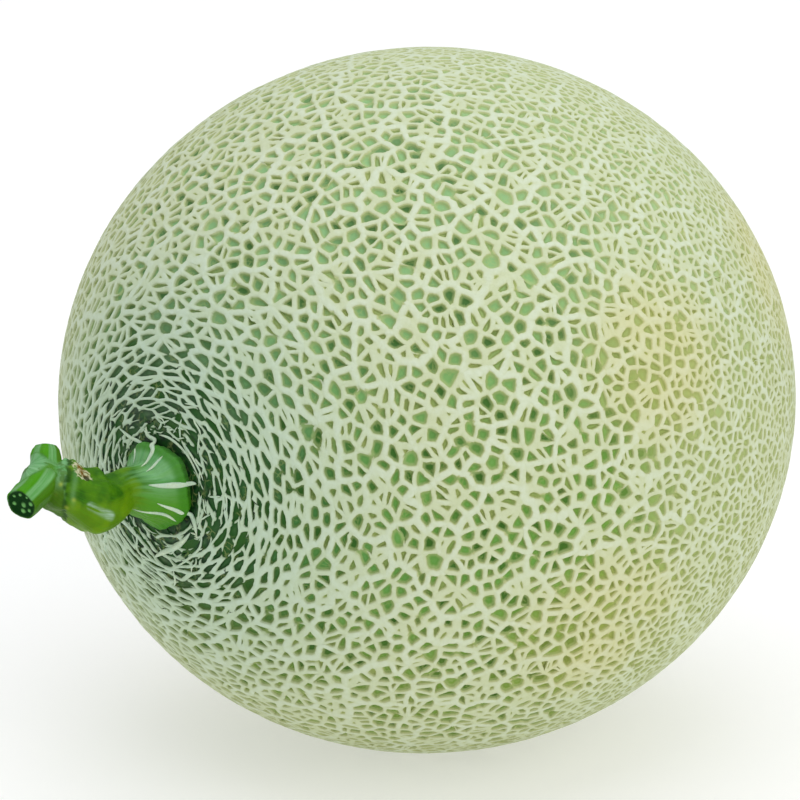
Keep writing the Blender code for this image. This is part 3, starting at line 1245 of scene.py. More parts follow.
@dataclass
class CorkyThreads:
    """Corky threads and streaks laid over the stem's foot and the ground round it."""

    form: FruitForm
    foot_radius: float = 9.1 * MM
    sunk: float = 0.16 * MM
    step: float = 0.28 * MM
    sides: int = 8
    height_share: float = 0.9
    height_most: float = 0.36 * MM
    taper: float = 0.6
    tip: float = 0.4
    smoothings: int = 3
    foot_runs: Tuple[float, float] = (11.6 * MM, 2.0 * MM)
    laid: Tuple[Thread, ...] = (
        Thread(1.3, ((281, 17.4), (274, 15.6), (254, 13.4), (239, 12.4), (227, 11.9))),
        Thread(1.0, ((321, 26.2), (319, 30.5), (315, 32.7))),
        Thread(0.5, ((315, 15.8), (302, 15.9), (296, 19.1), (279, 18.4))),
        Thread(0.5, ((315, 20.4), (304, 20.3), (294, 21.3))),
        Thread(1.1, ((197, 5.4), (200, 6.8), (204, 8.4), (209, 10.0), (214, 11.6), (221, 13.3))),
        Thread(0.7, ((236, 4.2), (228, 4.4), (221, 5.0), (217, 6.0), (219, 7.4), (224, 8.8))),
        Thread(0.6, ((86, 10.6), (100, 10.8), (114, 10.9), (128, 10.9))),
        Thread(0.5, ((116, 11.2), (137, 11.2), (153, 11.4), (160, 11.5))),
        Thread(0.5, ((118, 12.4), (137, 12.1), (153, 12.5), (163, 12.7))),
        Thread(0.8, ((34, 16.0), (39, 12.5), (47, 10.6), (55, 8.6), (49, 6.5))),
        Thread(1.1, ((67, 12.4), (67, 10.5), (80, 9.2), (92, 8.3), (92, 6.6), (92, 5.6))),
        Thread(0.6, ((112, 8.2), (111, 6.6), (113, 5.4))),
        Thread(0.5, ((20, 16.5), (9, 17.3), (1, 17.8), (354, 19.8))),
        Thread(0.5, ((23, 19.3), (13, 19.7), (1, 20.8))),
        Thread(1.25, ((155, 4.8), (158, 6.0), (161, 7.4), (164, 8.8), (166, 10.4))),
        Thread(0.5, ((175, 10.9), (186, 11.2), (197, 11.4), (213, 12.2))),
        Thread(0.6, ((260, 17.8), (249, 16.7), (227, 15.6), (213, 13.7))),
    )
    wild_count: int = 48
    wild_seed: int = 4

    def build(
        self, stem: bpy.types.Object, limb: Limb, material: bpy.types.Material
    ) -> bpy.types.Object:
        """Lay all the threads as one piece.

        Args:
            stem: the finished stem.
            limb: the stem's line and radii.
            material: the threads' material.
        Returns:
            The threads as one mesh object.
        """
        graph = bpy.context.evaluated_depsgraph_get()
        ground = BVHTree.FromObject(stem, graph)
        places: List[np.ndarray] = []
        faces: List[Tuple[int, ...]] = []
        total = 0
        for thread in self.laid + self._wild():
            places.append(self._tube(thread, ground, limb))
            rings = (len(places[-1]) - 2) // self.sides
            for ring in range(rings - 1):
                low = total + ring * self.sides
                for k in range(self.sides):
                    after = (k + 1) % self.sides
                    faces.append(
                        (low + k, low + after, low + self.sides + after, low + self.sides + k)
                    )
            high = total + (rings - 1) * self.sides
            tip = total + rings * self.sides
            for k in range(self.sides):
                after = (k + 1) % self.sides
                faces.append((total + after, total + k, tip))
                faces.append((high + k, high + after, tip + 1))
            total += len(places[-1])
        mesh = bpy.data.meshes.new("corky_threads")
        mesh.from_pydata(np.vstack(places).tolist(), [], faces)
        shape = bmesh.new()
        shape.from_mesh(mesh)
        bmesh.ops.recalc_face_normals(shape, faces=shape.faces)
        shape.to_mesh(mesh)
        shape.free()
        mesh.shade_smooth()
        mesh.materials.append(material)
        piece = bpy.data.objects.new("corky_threads", mesh)
        bpy.context.scene.collection.objects.link(piece)
        return piece

    def _wild(self) -> Tuple[Thread, ...]:
        """Short broken threads on the dark ground round the foot, by a seeded draw."""
        chance = random.Random(self.wild_seed)
        threads = []
        for _ in range(self.wild_count):
            angle, off = chance.uniform(0, 360), 11.2 + 9.0 * chance.random() ** 1.3
            heading = chance.choice((0.15, 0.3, 0.5, 1.2)) * chance.choice((-1, 1))
            length = chance.uniform(1.6, 5.0)
            route = []
            for k in range(4):
                route.append((angle, off))
                turn = heading + chance.uniform(-0.45, 0.45)
                angle += math.degrees(length / 3 * math.cos(turn) / off)
                off = max(11.0, off + length / 3 * math.sin(turn))
            threads.append(Thread(chance.uniform(0.28, 0.52), tuple(route)))
        return tuple(threads)

    def _tube(self, thread: Thread, ground: BVHTree, limb: Limb) -> np.ndarray:
        """Rings of points of one thread, with its two tips last.

        Args:
            thread: the thread.
            ground: the stem's surface.
            limb: the stem's line and radii.
        Returns:
            The points.
        """
        knots = [
            (0.0, off * math.cos(math.radians(turn)), off * math.sin(math.radians(turn)))
            for turn, off in thread.route
        ]
        flat = curve_through([tuple(np.array(knot) * MM) for knot in knots], 24)
        travelled = np.concatenate(
            [[0.0], np.cumsum(np.linalg.norm(np.diff(flat, axis=0), axis=1))]
        )
        count = max(5, int(travelled[-1] / self.step))
        even = np.linspace(0, travelled[-1], count)
        spots = np.column_stack([np.interp(even, travelled, flat[:, k]) for k in range(3)])
        line, outs = [], []
        for _, across, upright in spots:
            place, out = self._ground(across, upright, ground, limb)
            line.append(place)
            outs.append(out)
        line, outs = np.array(line), np.array(outs)
        for _ in range(self.smoothings):
            line[1:-1] = (line[:-2] + 2 * line[1:-1] + line[2:]) / 4
            outs[1:-1] = (outs[:-2] + 2 * outs[1:-1] + outs[2:]) / 4
        outs = unit(outs)
        sideways = unit(np.cross(np.gradient(line, axis=0), outs))
        share = np.linspace(0, 1, count)
        half = thread.width * MM / 2 * np.clip(4 * share * (1 - share), 0.02, 1) ** self.taper
        high = np.minimum(half * self.height_share, self.height_most)
        turn = 2 * math.pi * np.arange(self.sides) / self.sides
        rings = (
            line[:, None]
            + sideways[:, None] * (half[:, None, None] * np.cos(turn)[None, :, None])
            + outs[:, None] * (high[:, None, None] * np.sin(turn)[None, :, None])
        )
        tips = line[[0, -1]] + (line[[0, -1]] - line[[1, -2]]) * self.tip
        return np.vstack([rings.reshape(-1, 3), tips])

    def _ground(
        self, across: float, upright: float, ground: BVHTree, limb: Limb
    ) -> Tuple[np.ndarray, np.ndarray]:
        """The ground under a thread and the way out of it, on the foot or on the rind.

        Args:
            across, upright: offsets from the stem's axis.
            ground: the stem's surface.
            limb: the stem's line and radii.
        Returns:
            The place and the way out.
        """
        off = math.hypot(across, upright)
        if off < self.foot_radius:
            runs = np.linspace(*self.foot_runs, 200)
            run = float(np.interp(off, limb.radius(runs), runs))
            middle = [float(np.interp(run, limb.travelled, limb.line[:, k])) for k in range(3)]
            guess = Vector(middle) + Vector((0, across, upright))
            place, normal, _, _ = ground.find_nearest(guess)
            return np.array(place), np.array(normal)
        side = np.array([across + self.form.stem_shift, upright])
        share = side / np.abs(self.form.halves[1:])
        way = np.array([[math.sqrt(1 - share @ share), *share]])
        out = self.form.outward(way)[0]
        return self.form.surface(way)[0] + self.form.middle - out * self.sunk, out


# Node work


class Sum(Enum):
    """What a Math node does with its two numbers."""

    PLUS = "ADD"
    MINUS = "SUBTRACT"
    TIMES = "MULTIPLY"
    OVER = "DIVIDE"
    LARGER = "MAXIMUM"


@dataclass(frozen=True)
class Fade:
    """Where a look sets in, where it is whole, and how strong it then is."""

    sets_in: float
    whole: float
    share: float = 1.0


class NodeBoard:
    """Adds nodes to a material's or a group's tree and joins them."""

    def __init__(self, tree: bpy.types.NodeTree) -> None:
        """Work on this tree."""
        self.tree = tree

    def node(self, kind: str, **settings: object) -> bpy.types.Node:
        """A new node with its settings.

        Args:
            kind: Blender's name for the node.
            settings: its settings.
        Returns:
            The node.
        """
        made = self.tree.nodes.new(kind)
        for name, value in settings.items():
            setattr(made, name, value)
        return made

    def feed(self, socket: Socket, value: Feed) -> None:
        """Join a socket to another, or set its own value.

        Args:
            socket: the input.
            value: a socket, a number or a colour.
        """
        if isinstance(value, bpy.types.NodeSocket):
            self.tree.links.new(value, socket)
        elif hasattr(value, "__len__") and len(value) == 3 and socket.type == "RGBA":
            socket.default_value = (*value, 1.0)
        else:
            socket.default_value = value

    def math(self, kind: Sum, first: Feed, second: Feed, clamp: bool = False) -> Socket:
        """A Math node's result.

        Args:
            kind: what to do.
            first, second: the two numbers.
            clamp: whether to keep the result from 0 to 1.
        Returns:
            The result.
        """
        made = self.node("ShaderNodeMath", operation=kind.value, use_clamp=clamp)
        self.feed(made.inputs[0], first)
        self.feed(made.inputs[1], second)
        return made.outputs[0]

    def mix(self, factor: Feed, first: Feed, second: Feed) -> Socket:
        """Two colours mixed.

        Args:
            factor: the second colour's share.
            first, second: the colours.
        Returns:
            The mixed colour.
        """
        made = self.node("ShaderNodeMix", data_type="RGBA")
        self.feed(made.inputs[0], factor)
        self.feed(made.inputs[6], first)
        self.feed(made.inputs[7], second)
        return made.outputs[2]

    def spread(
        self, value: Feed, low: float, high: float, to_low: float = 0.0, to_high: float = 1.0
    ) -> Socket:
        """A value carried from one range to another on an even curve.

        Args:
            value: the value.
            low, high: the range that it comes from.
            to_low, to_high: the range that it is carried to.
        Returns:
            The carried value.
        """
        made = self.node("ShaderNodeMapRange", interpolation_type="SMOOTHSTEP", clamp=True)
        for socket, number in zip(made.inputs, (value, low, high, to_low, to_high)):
            self.feed(socket, number)
        return made.outputs[0]

    def fade(self, value: Feed, fade: Fade) -> Socket:
        """A look's strength where it sets in and grows with a value."""
        return self.spread(value, fade.sets_in, fade.whole, 0.0, fade.share)

    def ramp(self, factor: Feed, stops: Sequence[Tuple[float, Colour]]) -> Socket:
        """A colour read off a ramp.

        Args:
            factor: the place on the ramp.
            stops: places and their colours.
        Returns:
            The colour.
        """
        made = self.node("ShaderNodeValToRGB")
        self.feed(made.inputs[0], factor)
        elements = made.color_ramp.elements
        while len(elements) < len(stops):
            elements.new(1.0)
        for element, (place, colour) in zip(elements, stops):
            element.position = place
            element.color = (*colour, 1.0)
        return made.outputs[0]

    def noise(self, vector: Feed, scale: float, detail: float) -> Socket:
        """A Noise Texture's value.

        Args:
            vector: the place.
            scale: patches a metre.
            detail: finer layers.
        Returns:
            A value about 0.5.
        """
        made = self.node("ShaderNodeTexNoise")
        self.feed(made.inputs["Vector"], vector)
        made.inputs["Scale"].default_value = scale
        made.inputs["Detail"].default_value = detail
        return made.outputs[0]

    def distance(self, vector: Feed, point: Sequence[float]) -> Socket:
        """How far the place is from a point.

        Args:
            vector: the place.
            point: the point.
        Returns:
            The distance.
        """
        made = self.node("ShaderNodeVectorMath", operation="DISTANCE")
        self.feed(made.inputs[0], vector)
        made.inputs[1].default_value = point
        return made.outputs["Value"]

    def bump(self, height: Feed, strength: float, distance: float) -> Socket:
        """A Bump node's normal.

        Args:
            height: the relief, 0 to 1.
            strength: how strong it is.
            distance: its full height in metres.
        Returns:
            The normal.
        """
        made = self.node("ShaderNodeBump")
        made.inputs["Strength"].default_value = strength
        made.inputs["Distance"].default_value = distance
        self.feed(made.inputs["Height"], height)
        return made.outputs[0]


class Effect:
    """A shader effect that several materials use, as a node group built once."""

    def __init__(self, name: str, inputs: Dict[str, float], output: str) -> None:
        """Make the group with its sockets.

        Args:
            name: the group's name.
            inputs: number inputs with their default values, after the vector.
            output: name of the value that the group puts out.
        """
        self.tree = bpy.data.node_groups.new(name, "ShaderNodeTree")
        self.tree.interface.new_socket("Place", in_out="INPUT", socket_type="NodeSocketVector")
        for label, value in inputs.items():
            made = self.tree.interface.new_socket(
                label, in_out="INPUT", socket_type="NodeSocketFloat"
            )
            made.default_value = value
        self.tree.interface.new_socket(output, in_out="OUTPUT", socket_type="NodeSocketFloat")
        self.board = NodeBoard(self.tree)
        self.start = self.tree.nodes.new("NodeGroupInput")
        self.end = self.tree.nodes.new("NodeGroupOutput")

    def put(self, board: NodeBoard, place: Feed, **values: float) -> Socket:
        """Place the group in a material and return its result.

        Args:
            board: the material's board.
            place: where on the piece.
            values: the group's number inputs.
        Returns:
            What the group puts out.
        """
        made = board.node("ShaderNodeGroup", node_tree=self.tree)
        board.feed(made.inputs["Place"], place)
        for label, value in values.items():
            board.feed(made.inputs[label], value)
        return made.outputs[0]


class MottleEffect(Effect):
    """Soft clouds of tone, from 0 to 1."""

    def __init__(self) -> None:
        """Build the group."""
        super().__init__("mottle", {"Scale": 60.0, "Contrast": 2.0}, "Tone")
        board = self.board
        cloud = board.node("ShaderNodeTexNoise")
        board.feed(cloud.inputs["Vector"], self.start.outputs["Place"])
        board.feed(cloud.inputs["Scale"], self.start.outputs["Scale"])
        cloud.inputs["Detail"].default_value = 3.0
        centred = board.math(Sum.MINUS, cloud.outputs[0], 0.5)
        spread = board.math(Sum.TIMES, centred, self.start.outputs["Contrast"])
        board.feed(self.end.inputs[0], board.math(Sum.PLUS, spread, 0.5, clamp=True))


class CorkGrainEffect(Effect):
    """Fine grain of cork: pits and short cracks, as a height."""

    def __init__(self) -> None:
        """Build the group."""
        super().__init__("cork_grain", {"Scale": 2600.0, "Cracks": 0.5}, "Height")
        board = self.board
        place = self.start.outputs["Place"]
        scale = self.start.outputs["Scale"]
        pits = board.node("ShaderNodeTexNoise")
        board.feed(pits.inputs["Vector"], place)
        board.feed(pits.inputs["Scale"], scale)
        pits.inputs["Detail"].default_value = 4.0
        cracks = board.node("ShaderNodeTexVoronoi", feature="DISTANCE_TO_EDGE")
        board.feed(cracks.inputs["Vector"], place)
        board.feed(cracks.inputs["Scale"], board.math(Sum.TIMES, scale, 0.45))
        seams = board.spread(cracks.outputs["Distance"], 0.0, 0.12)
        share = board.math(Sum.TIMES, seams, self.start.outputs["Cracks"])
        board.feed(self.end.inputs[0], board.math(Sum.PLUS, pits.outputs[0], share))


# Finishes


@dataclass(frozen=True)
class RindFinish:
    """Colours of the rind and of the net on it, and where each of them lies.

    Distances are in metres from the stem, from the fruit's middle for heights. Patterns have
    scales per metre.
    """

    floors: Tuple[Tuple[float, Colour], ...] = (
        # Darkest next to the stem: the rind's own dark green, deepened with painted shadow round
        # the stem's foot.
        (0.012, paint(3, 28, 16)),
        (0.022, paint(10, 52, 22)),
        (0.034, paint(50, 108, 46)),
        (0.050, paint(92, 148, 64)),
        (0.090, paint(108, 156, 52)),
        (0.112, paint(172, 186, 112)),
        (0.159, paint(200, 205, 156)),
    )
    young_floor: Colour = paint(32, 84, 28)
    small_floor: Colour = paint(168, 180, 108)
    deep_floor: Colour = paint(40, 88, 12)
    # Paler bluish green in the middles of the holes: painted sheen.
    painted_sheen_floor: Colour = paint(128, 178, 112)
    # Darker olive for the floors towards the bottom: painted shade.
    painted_low_shade: Colour = paint(132, 134, 30)
    rim_floor: Colour = paint(176, 192, 126)
    # Paler bluish green for the floors on the upper half: painted light from above.
    painted_top_light: Colour = paint(164, 200, 152)
    crack: Colour = paint(172, 182, 110)
    thread: Colour = paint(202, 210, 172)
    flank: Colour = paint(186, 193, 132)
    stout: Colour = paint(210, 219, 192)
    warm: Colour = paint(216, 206, 142)
    warm_floor: Colour = paint(178, 176, 88)
    warm_patches: Tuple[Tuple[Point, float, float], ...] = (
        ((-6, -71, 27), 25, 0.44),
        ((-19, -68, -29), 28, 0.42),
        ((45, -52, 30), 24, 0.36),
        ((30, 55, 20), 34, 0.55),
    )
    cool: Colour = paint(174, 204, 184)
    scar: Colour = paint(176, 160, 118)
    wander_scale: float = 38.0
    wander: float = 0.030
    wander_start: float = 0.015
    # Where the painted top light sets in and is whole, by height.
    painted_top_light_fade: Fade = Fade(0.0, 0.060, 0.58)
    # Where the painted bottom shade sets in and is whole, by height.
    painted_low_shade_fade: Fade = Fade(-0.010, -0.045, 0.45)
    deep_fade: Fade = Fade(0.60, 0.0, 0.85)
    deep_far: Tuple[float, float] = (0.080, 0.115)
    painted_sheen_fade: Fade = Fade(0.1, 1.0, 0.30)
    rim_fade: Fade = Fade(0.55, 0.0, 0.62)
    rim_from: Fade = Fade(0.020, 0.050)
    small_fade: Fade = Fade(0.60, 0.0)
    small_from: Fade = Fade(0.022, 0.058)
    small_share: float = 0.9
    moss_fade: Fade = Fade(0.036, 0.014, 0.75)
    moss_scale: float = 520.0
    crack_scale: float = 560.0
    crack_stray: float = 0.0012
    crack_stray_scale: float = 900.0
    crack_patch_scale: float = 300.0
    crack_share: float = 0.30
    flank_fade: Fade = Fade(0.90, 0.60, 0.80)
    warm_scale: float = 60.0
    cool_fade: Fade = Fade(0.070, 0.012, 0.65)
    speckle_scale: float = 900.0
    scar_fade: Fade = Fade(0.0085, 0.004)
    cover_fade: Fade = Fade(0.15, 0.55)
    grain_scale: float = 2400.0
    grain_strength: float = 0.35
    grain_height: float = 0.25 * MM
    floor_roughness: float = 0.42
    net_roughness: float = 0.80
    specular: float = 0.14


@dataclass(frozen=True)
class StemFinish:
    """Colours of the stem, and where each of them lies.

    The fades are over masks that the stem's points carry. Patterns have scales per metre.
    """

    ridge: Colour = paint(70, 142, 8)
    face: Colour = paint(90, 152, 86)
    face_pale: Colour = paint(134, 184, 130)
    swelling: Colour = paint(40, 92, 2)
    swelling_pale: Colour = paint(74, 124, 2)
    lobe: Colour = paint(104, 142, 2)
    # Olive: the stem's own blotches, and painted shade on lower sides.
    olive: Colour = paint(62, 100, 4)
    trumpet_under: Colour = paint(78, 138, 30)
    rim: Colour = paint(56, 124, 16)
    groove: Colour = paint(22, 64, 6)
    fleck: Colour = paint(176, 190, 70)
    scar_brown: Colour = paint(112, 84, 22)
    scar_dark: Colour = paint(40, 44, 8)
    scar_pale: Colour = paint(188, 190, 150)
    # Colour of a pale streaky patch on the swelling.
    pale_streak: Colour = paint(160, 190, 164)
    cut: Colour = paint(6, 52, 8)
    bundle: Colour = paint(112, 176, 96)
    streak_scale: float = 900.0
    fine_scale: float = 2600.0
    cloud_scale: float = 330.0
    bark_scale: float = 1500.0
    flake_scale: float = 1250.0
    swelling_lobes: Fade = Fade(0.52, 0.75, 0.6)
    swelling_under: Fade = Fade(0.6, 0.0, 0.5)
    joint_clouds: Fade = Fade(0.55, 0.80, 0.7)
    vine_ridges: Tuple[float, float, float, float] = (0.25, 0.70, 0.35, 1.0)
    # Painted shade: olive on the vine's lower side.
    vine_under: Fade = Fade(0.8, 0.2, 0.75)
    # Painted sky reflection: pale grey-green faces on the foot's upper side, over its own waxy
    # bloom.
    trumpet_above: Fade = Fade(0.30, 0.85)
    trumpet_streaks: Fade = Fade(0.50, 0.95, 0.4)
    trumpet_rim: Fade = Fade(0.55, 1.0, 0.8)
    trumpet_fade: Fade = Fade(0.35, 1.05)
    ragged_share: float = 0.35
    # How strong the painted highlight beside the groove is.
    groove_highlight_share: float = 0.25
    fine_fade: Fade = Fade(0.45, 1.0, 0.22)
    groove_fade: Fade = Fade(0.15, 0.90, 0.75)
    fleck_share: float = 0.85
    scar_fade: Fade = Fade(0.55, 0.75)
    pit_fade: Fade = Fade(0.40, 0.80, 0.9)
    pale_streak_fade: Fade = Fade(0.15, 0.85)
    pale_streak_scale: float = 1500.0
    relief_strength: float = 0.45
    relief_height: float = 0.30 * MM
    live_roughness: float = 0.50
    dull_roughness: float = 0.80
    specular: float = 0.12


@dataclass(frozen=True)
class ThreadFinish:
    """Colours and grain of the corky threads round the stem."""

    pale: Colour = paint(204, 220, 190)
    cool: Colour = paint(178, 204, 178)
    speck: Colour = paint(186, 190, 140)
    tone_scale: float = 420.0
    speck_scale: float = 1700.0
    speck_fade: Fade = Fade(0.45, 1.0, 0.40)
    roughness: float = 0.8
    grain_scale: float = 2400.0
    grain_strength: float = 0.4
    grain_height: float = 0.25 * MM


class Shop:
    """Makes the materials, with the effects that they share."""

    def __init__(self, form: FruitForm) -> None:
        """Build the shared effects."""
        self.form = form
        self.mottle = MottleEffect()
        self.grain = CorkGrainEffect()

    def sheet(self, name: str) -> Tuple[bpy.types.Material, NodeBoard, bpy.types.Node, Socket]:
        """A new material with its board, its shader and the place on the piece.

        Args:
            name: the material's name.
        Returns:
            The material, its board, its shader and the place.
        """
        material = bpy.data.materials.new(name)
        material.use_nodes = True
        board = NodeBoard(material.node_tree)
        shader = material.node_tree.nodes["Principled BSDF"]
        place = board.node("ShaderNodeTexCoord").outputs["Object"]
        return material, board, shader, place

    def rind(self, finish: RindFinish) -> bpy.types.Material:
        """The rind: green floors, cream cords and what lies between them.

        Args:
            finish: colours and where they lie.
        Returns:
            The material.
        """
        material, board, shader, place = self.sheet("netted_rind")
        cord, stout, shade, opening = self._parts(board, "net")
        inner = board.node("ShaderNodeAttribute", attribute_name="inner").outputs["Fac"]

        middle = self.form.middle
        pole = (middle[0] - self.form.half_length, middle[1] + self.form.stem_shift, middle[2])
        from_stem = board.distance(place, pole)
        far = finish.floors[-1][0]
        wander = board.noise(place, finish.wander_scale, 2.0)
        wander = board.math(Sum.TIMES, wander, finish.wander)
        strayed = board.math(Sum.MINUS, from_stem, finish.wander_start)
        strayed = board.math(Sum.PLUS, strayed, wander)
        stops = [(distance / far, colour) for distance, colour in finish.floors]
        floor = board.ramp(board.math(Sum.OVER, strayed, far), stops)
        height = board.node("ShaderNodeSeparateXYZ")
        board.feed(height.inputs[0], place)
        # Floors by height: painted paler on the upper half as light from above, and darker olive
        # lower down as painted shade.
        by_height = (finish.painted_top_light_fade, finish.painted_top_light), (finish.painted_low_shade_fade, finish.painted_low_shade)
        for fade, colour in by_height:
            level = Fade(middle[2] + fade.sets_in, middle[2] + fade.whole, fade.share)
            floor = board.mix(board.fade(height.outputs[2], level), floor, colour)
        deep = board.spread(from_stem, *finish.deep_far, 1.0, 0.15)
        deep = board.math(Sum.TIMES, board.fade(shade, finish.deep_fade), deep)
        floor = board.mix(deep, floor, finish.deep_floor)
        # Painted sheen: the middles of the larger holes are made paler and bluer.
        painted_sheen = board.math(Sum.TIMES, board.fade(inner, finish.painted_sheen_fade), shade)
        painted_sheen = board.math(Sum.TIMES, painted_sheen, opening)
        floor = board.mix(painted_sheen, floor, finish.painted_sheen_floor)
        rim = board.fade(from_stem, finish.rim_from)
        rim = board.math(Sum.TIMES, board.fade(inner, finish.rim_fade), rim)
        floor = board.mix(rim, floor, finish.rim_floor)
        small = board.fade(from_stem, finish.small_from)
        small = board.math(Sum.TIMES, board.fade(opening, finish.small_fade), small)
        small = board.math(Sum.TIMES, small, finish.small_share)
        floor = board.mix(small, floor, finish.small_floor)
        moss = self.mottle.put(board, place, Scale=finish.moss_scale, Contrast=4.0)
        moss = board.math(Sum.TIMES, moss, board.fade(from_stem, finish.moss_fade))
        floor = board.mix(moss, floor, finish.young_floor)
        floor = board.mix(self._cracks(board, place, finish), floor, finish.crack)

        top = board.mix(board.spread(stout, 0.84, 1.0), finish.thread, finish.stout)
        top = board.mix(board.fade(cord, finish.flank_fade), top, finish.flank)
        warm = self.mottle.put(board, place, Scale=finish.warm_scale, Contrast=2.4)
        for spot, reach, share in finish.warm_patches:
            near = board.distance(place, tuple(np.array(spot) * MM + middle))
            patch = board.spread(near, reach * MM, reach * 0.25 * MM, 0.0, share)
            patch = board.math(Sum.TIMES, patch, board.spread(warm, 0.0, 0.5, 0.55, 1.0))
            top = board.mix(patch, top, finish.warm)
            floor = board.mix(patch, floor, finish.warm_floor)
        top = board.mix(board.fade(from_stem, finish.cool_fade), top, finish.cool)
        speckle = self.mottle.put(board, place, Scale=finish.speckle_scale, Contrast=1.6)
        top = board.mix(board.spread(speckle, 0.0, 1.0, 0.16, 0.0), top, finish.small_floor)
        scar_place = (middle[0] + self.form.half_length, middle[1], middle[2])
        off_scar = board.distance(place, scar_place)
        top = board.mix(board.fade(off_scar, finish.scar_fade), top, finish.scar)

        cover = board.fade(cord, finish.cover_fade)
        board.feed(shader.inputs["Base Color"], board.mix(cover, floor, top))
        board.feed(
            shader.inputs["Roughness"],
            board.spread(cover, 0.0, 1.0, finish.floor_roughness, finish.net_roughness),
        )
        grain = self.grain.put(board, place, Scale=finish.grain_scale, Cracks=0.35)
        rough = board.math(Sum.TIMES, grain, board.spread(cover, 0.0, 1.0, 0.15, 1.0))
        bump = board.bump(rough, finish.grain_strength, finish.grain_height)
        board.feed(shader.inputs["Normal"], bump)
        shader.inputs["Specular IOR Level"].default_value = finish.specular
        return material

    @staticmethod
    def _cracks(board: NodeBoard, place: Socket, finish: RindFinish) -> Socket:
        """Crooked hair cracks in patches of the floors, as a mask.

        Args:
            board: the material's board.
            place: where on the piece.
            finish: the rind's finish.
        Returns:
            The mask.
        """
        stray = board.node("ShaderNodeTexNoise")
        board.feed(stray.inputs["Vector"], place)
        stray.inputs["Scale"].default_value = finish.crack_stray_scale
        crooked = board.node("ShaderNodeVectorMath", operation="MULTIPLY_ADD")
        board.feed(crooked.inputs[0], stray.outputs["Color"])
        crooked.inputs[1].default_value = (finish.crack_stray,) * 3
        board.feed(crooked.inputs[2], place)
        crack = board.node("ShaderNodeTexVoronoi", feature="DISTANCE_TO_EDGE")
        board.feed(crack.inputs["Vector"], crooked.outputs[0])
        crack.inputs["Scale"].default_value = finish.crack_scale
        line = board.spread(crack.outputs["Distance"], 0.12, 0.0)
        patchy = board.spread(board.noise(place, finish.crack_patch_scale, 1.0), 0.50, 0.62)
        line = board.math(Sum.TIMES, line, patchy)
        return board.math(Sum.TIMES, line, finish.crack_share)

    def stem(self, finish: StemFinish) -> bpy.types.Material:
        """The stem: green ridges, grey-green faces, dark cut ends, scar, a pale streaky patch and
        flecks.

        Args:
            finish: colours and where they lie.
        Returns:
            The material.
        """
        material, board, shader, place = self.sheet("fresh_stem")
        fibre = board.node("ShaderNodeAttribute", attribute_name="fibre").outputs["Vector"]
        ridge, flare, groove, on_vine = self._parts(board, "shape")
        cut, dots, scar, pale_streak = self._parts(board, "marks")
        flecks, rim, pit, upper = self._parts(board, "spots")
        beyond, groove_highlight, lit, lumpy = self._parts(board, "zones")
        streaks = self.mottle.put(board, fibre, Scale=finish.streak_scale, Contrast=2.6)
        fine = self.mottle.put(board, fibre, Scale=finish.fine_scale, Contrast=2.4)
        clouds = self.mottle.put(board, place, Scale=finish.cloud_scale, Contrast=3.0)

        swelling = board.mix(clouds, finish.swelling, finish.swelling_pale)
        swelling = board.mix(board.fade(lumpy, finish.swelling_lobes), swelling, finish.lobe)
        swelling = board.mix(board.fade(lit, finish.swelling_under), swelling, finish.lobe)
        faces = board.mix(streaks, finish.face, finish.face_pale)
        # Painted sky reflection and shade: pale grey-green faces on the upper side, over the stem's
        # own waxy bloom, and olive on the lower side.
        joint = board.mix(lit, finish.olive, faces)
        joint = board.mix(board.fade(clouds, finish.joint_clouds), joint, finish.olive)
        vine = board.mix(board.spread(ridge, *finish.vine_ridges), faces, finish.ridge)
        # Painted shade: olive on the vine's lower side.
        vine = board.mix(board.fade(lit, finish.vine_under), vine, finish.olive)
        # Painted sky reflection: the foot's upper side takes the pale grey-green faces.
        trumpet = board.mix(board.fade(upper, finish.trumpet_above), finish.trumpet_under, faces)
        trumpet = board.mix(board.fade(streaks, finish.trumpet_streaks), trumpet, finish.ridge)
        trumpet = board.mix(board.fade(rim, finish.trumpet_rim), trumpet, finish.rim)
        ragged = board.math(Sum.TIMES, streaks, finish.ragged_share)
        ragged = board.fade(board.math(Sum.PLUS, flare, ragged), finish.trumpet_fade)
        colour = board.mix(ragged, swelling, trumpet)
        colour = board.mix(beyond, colour, joint)
        colour = board.mix(on_vine, colour, vine)
        # Painted highlight: a pale stripe beside the groove on the lit side.
        groove_highlight = board.math(Sum.TIMES, groove_highlight, finish.groove_highlight_share)
        colour = board.mix(groove_highlight, colour, finish.face_pale)
        colour = board.mix(board.fade(fine, finish.fine_fade), colour, finish.ridge)
        colour = board.mix(board.fade(groove, finish.groove_fade), colour, finish.groove)
        flecks = board.math(Sum.TIMES, flecks, finish.fleck_share)
        colour = board.mix(flecks, colour, finish.fleck)

        bark = self.grain.put(board, place, Scale=finish.bark_scale, Cracks=0.3)
        flakes = self.mottle.put(board, place, Scale=finish.flake_scale, Contrast=5.0)
        corky = board.mix(flakes, finish.scar_brown, finish.scar_pale)
        edge = board.math(Sum.TIMES, flakes, finish.ragged_share)
        edge = board.fade(board.math(Sum.PLUS, scar, edge), finish.scar_fade)
        colour = board.mix(edge, colour, corky)
        colour = board.mix(board.fade(pit, finish.pit_fade), colour, finish.scar_dark)
        # A pale streaky patch on the swelling, also duller.
        threads = self.mottle.put(board, fibre, Scale=finish.pale_streak_scale, Contrast=3.5)
        pale_streak_mask = board.math(Sum.TIMES, board.fade(pale_streak, finish.pale_streak_fade), threads)
        colour = board.mix(pale_streak_mask, colour, finish.pale_streak)
        flesh = board.mix(dots, finish.cut, finish.bundle)
        colour = board.mix(cut, colour, flesh)
        board.feed(shader.inputs["Base Color"], colour)

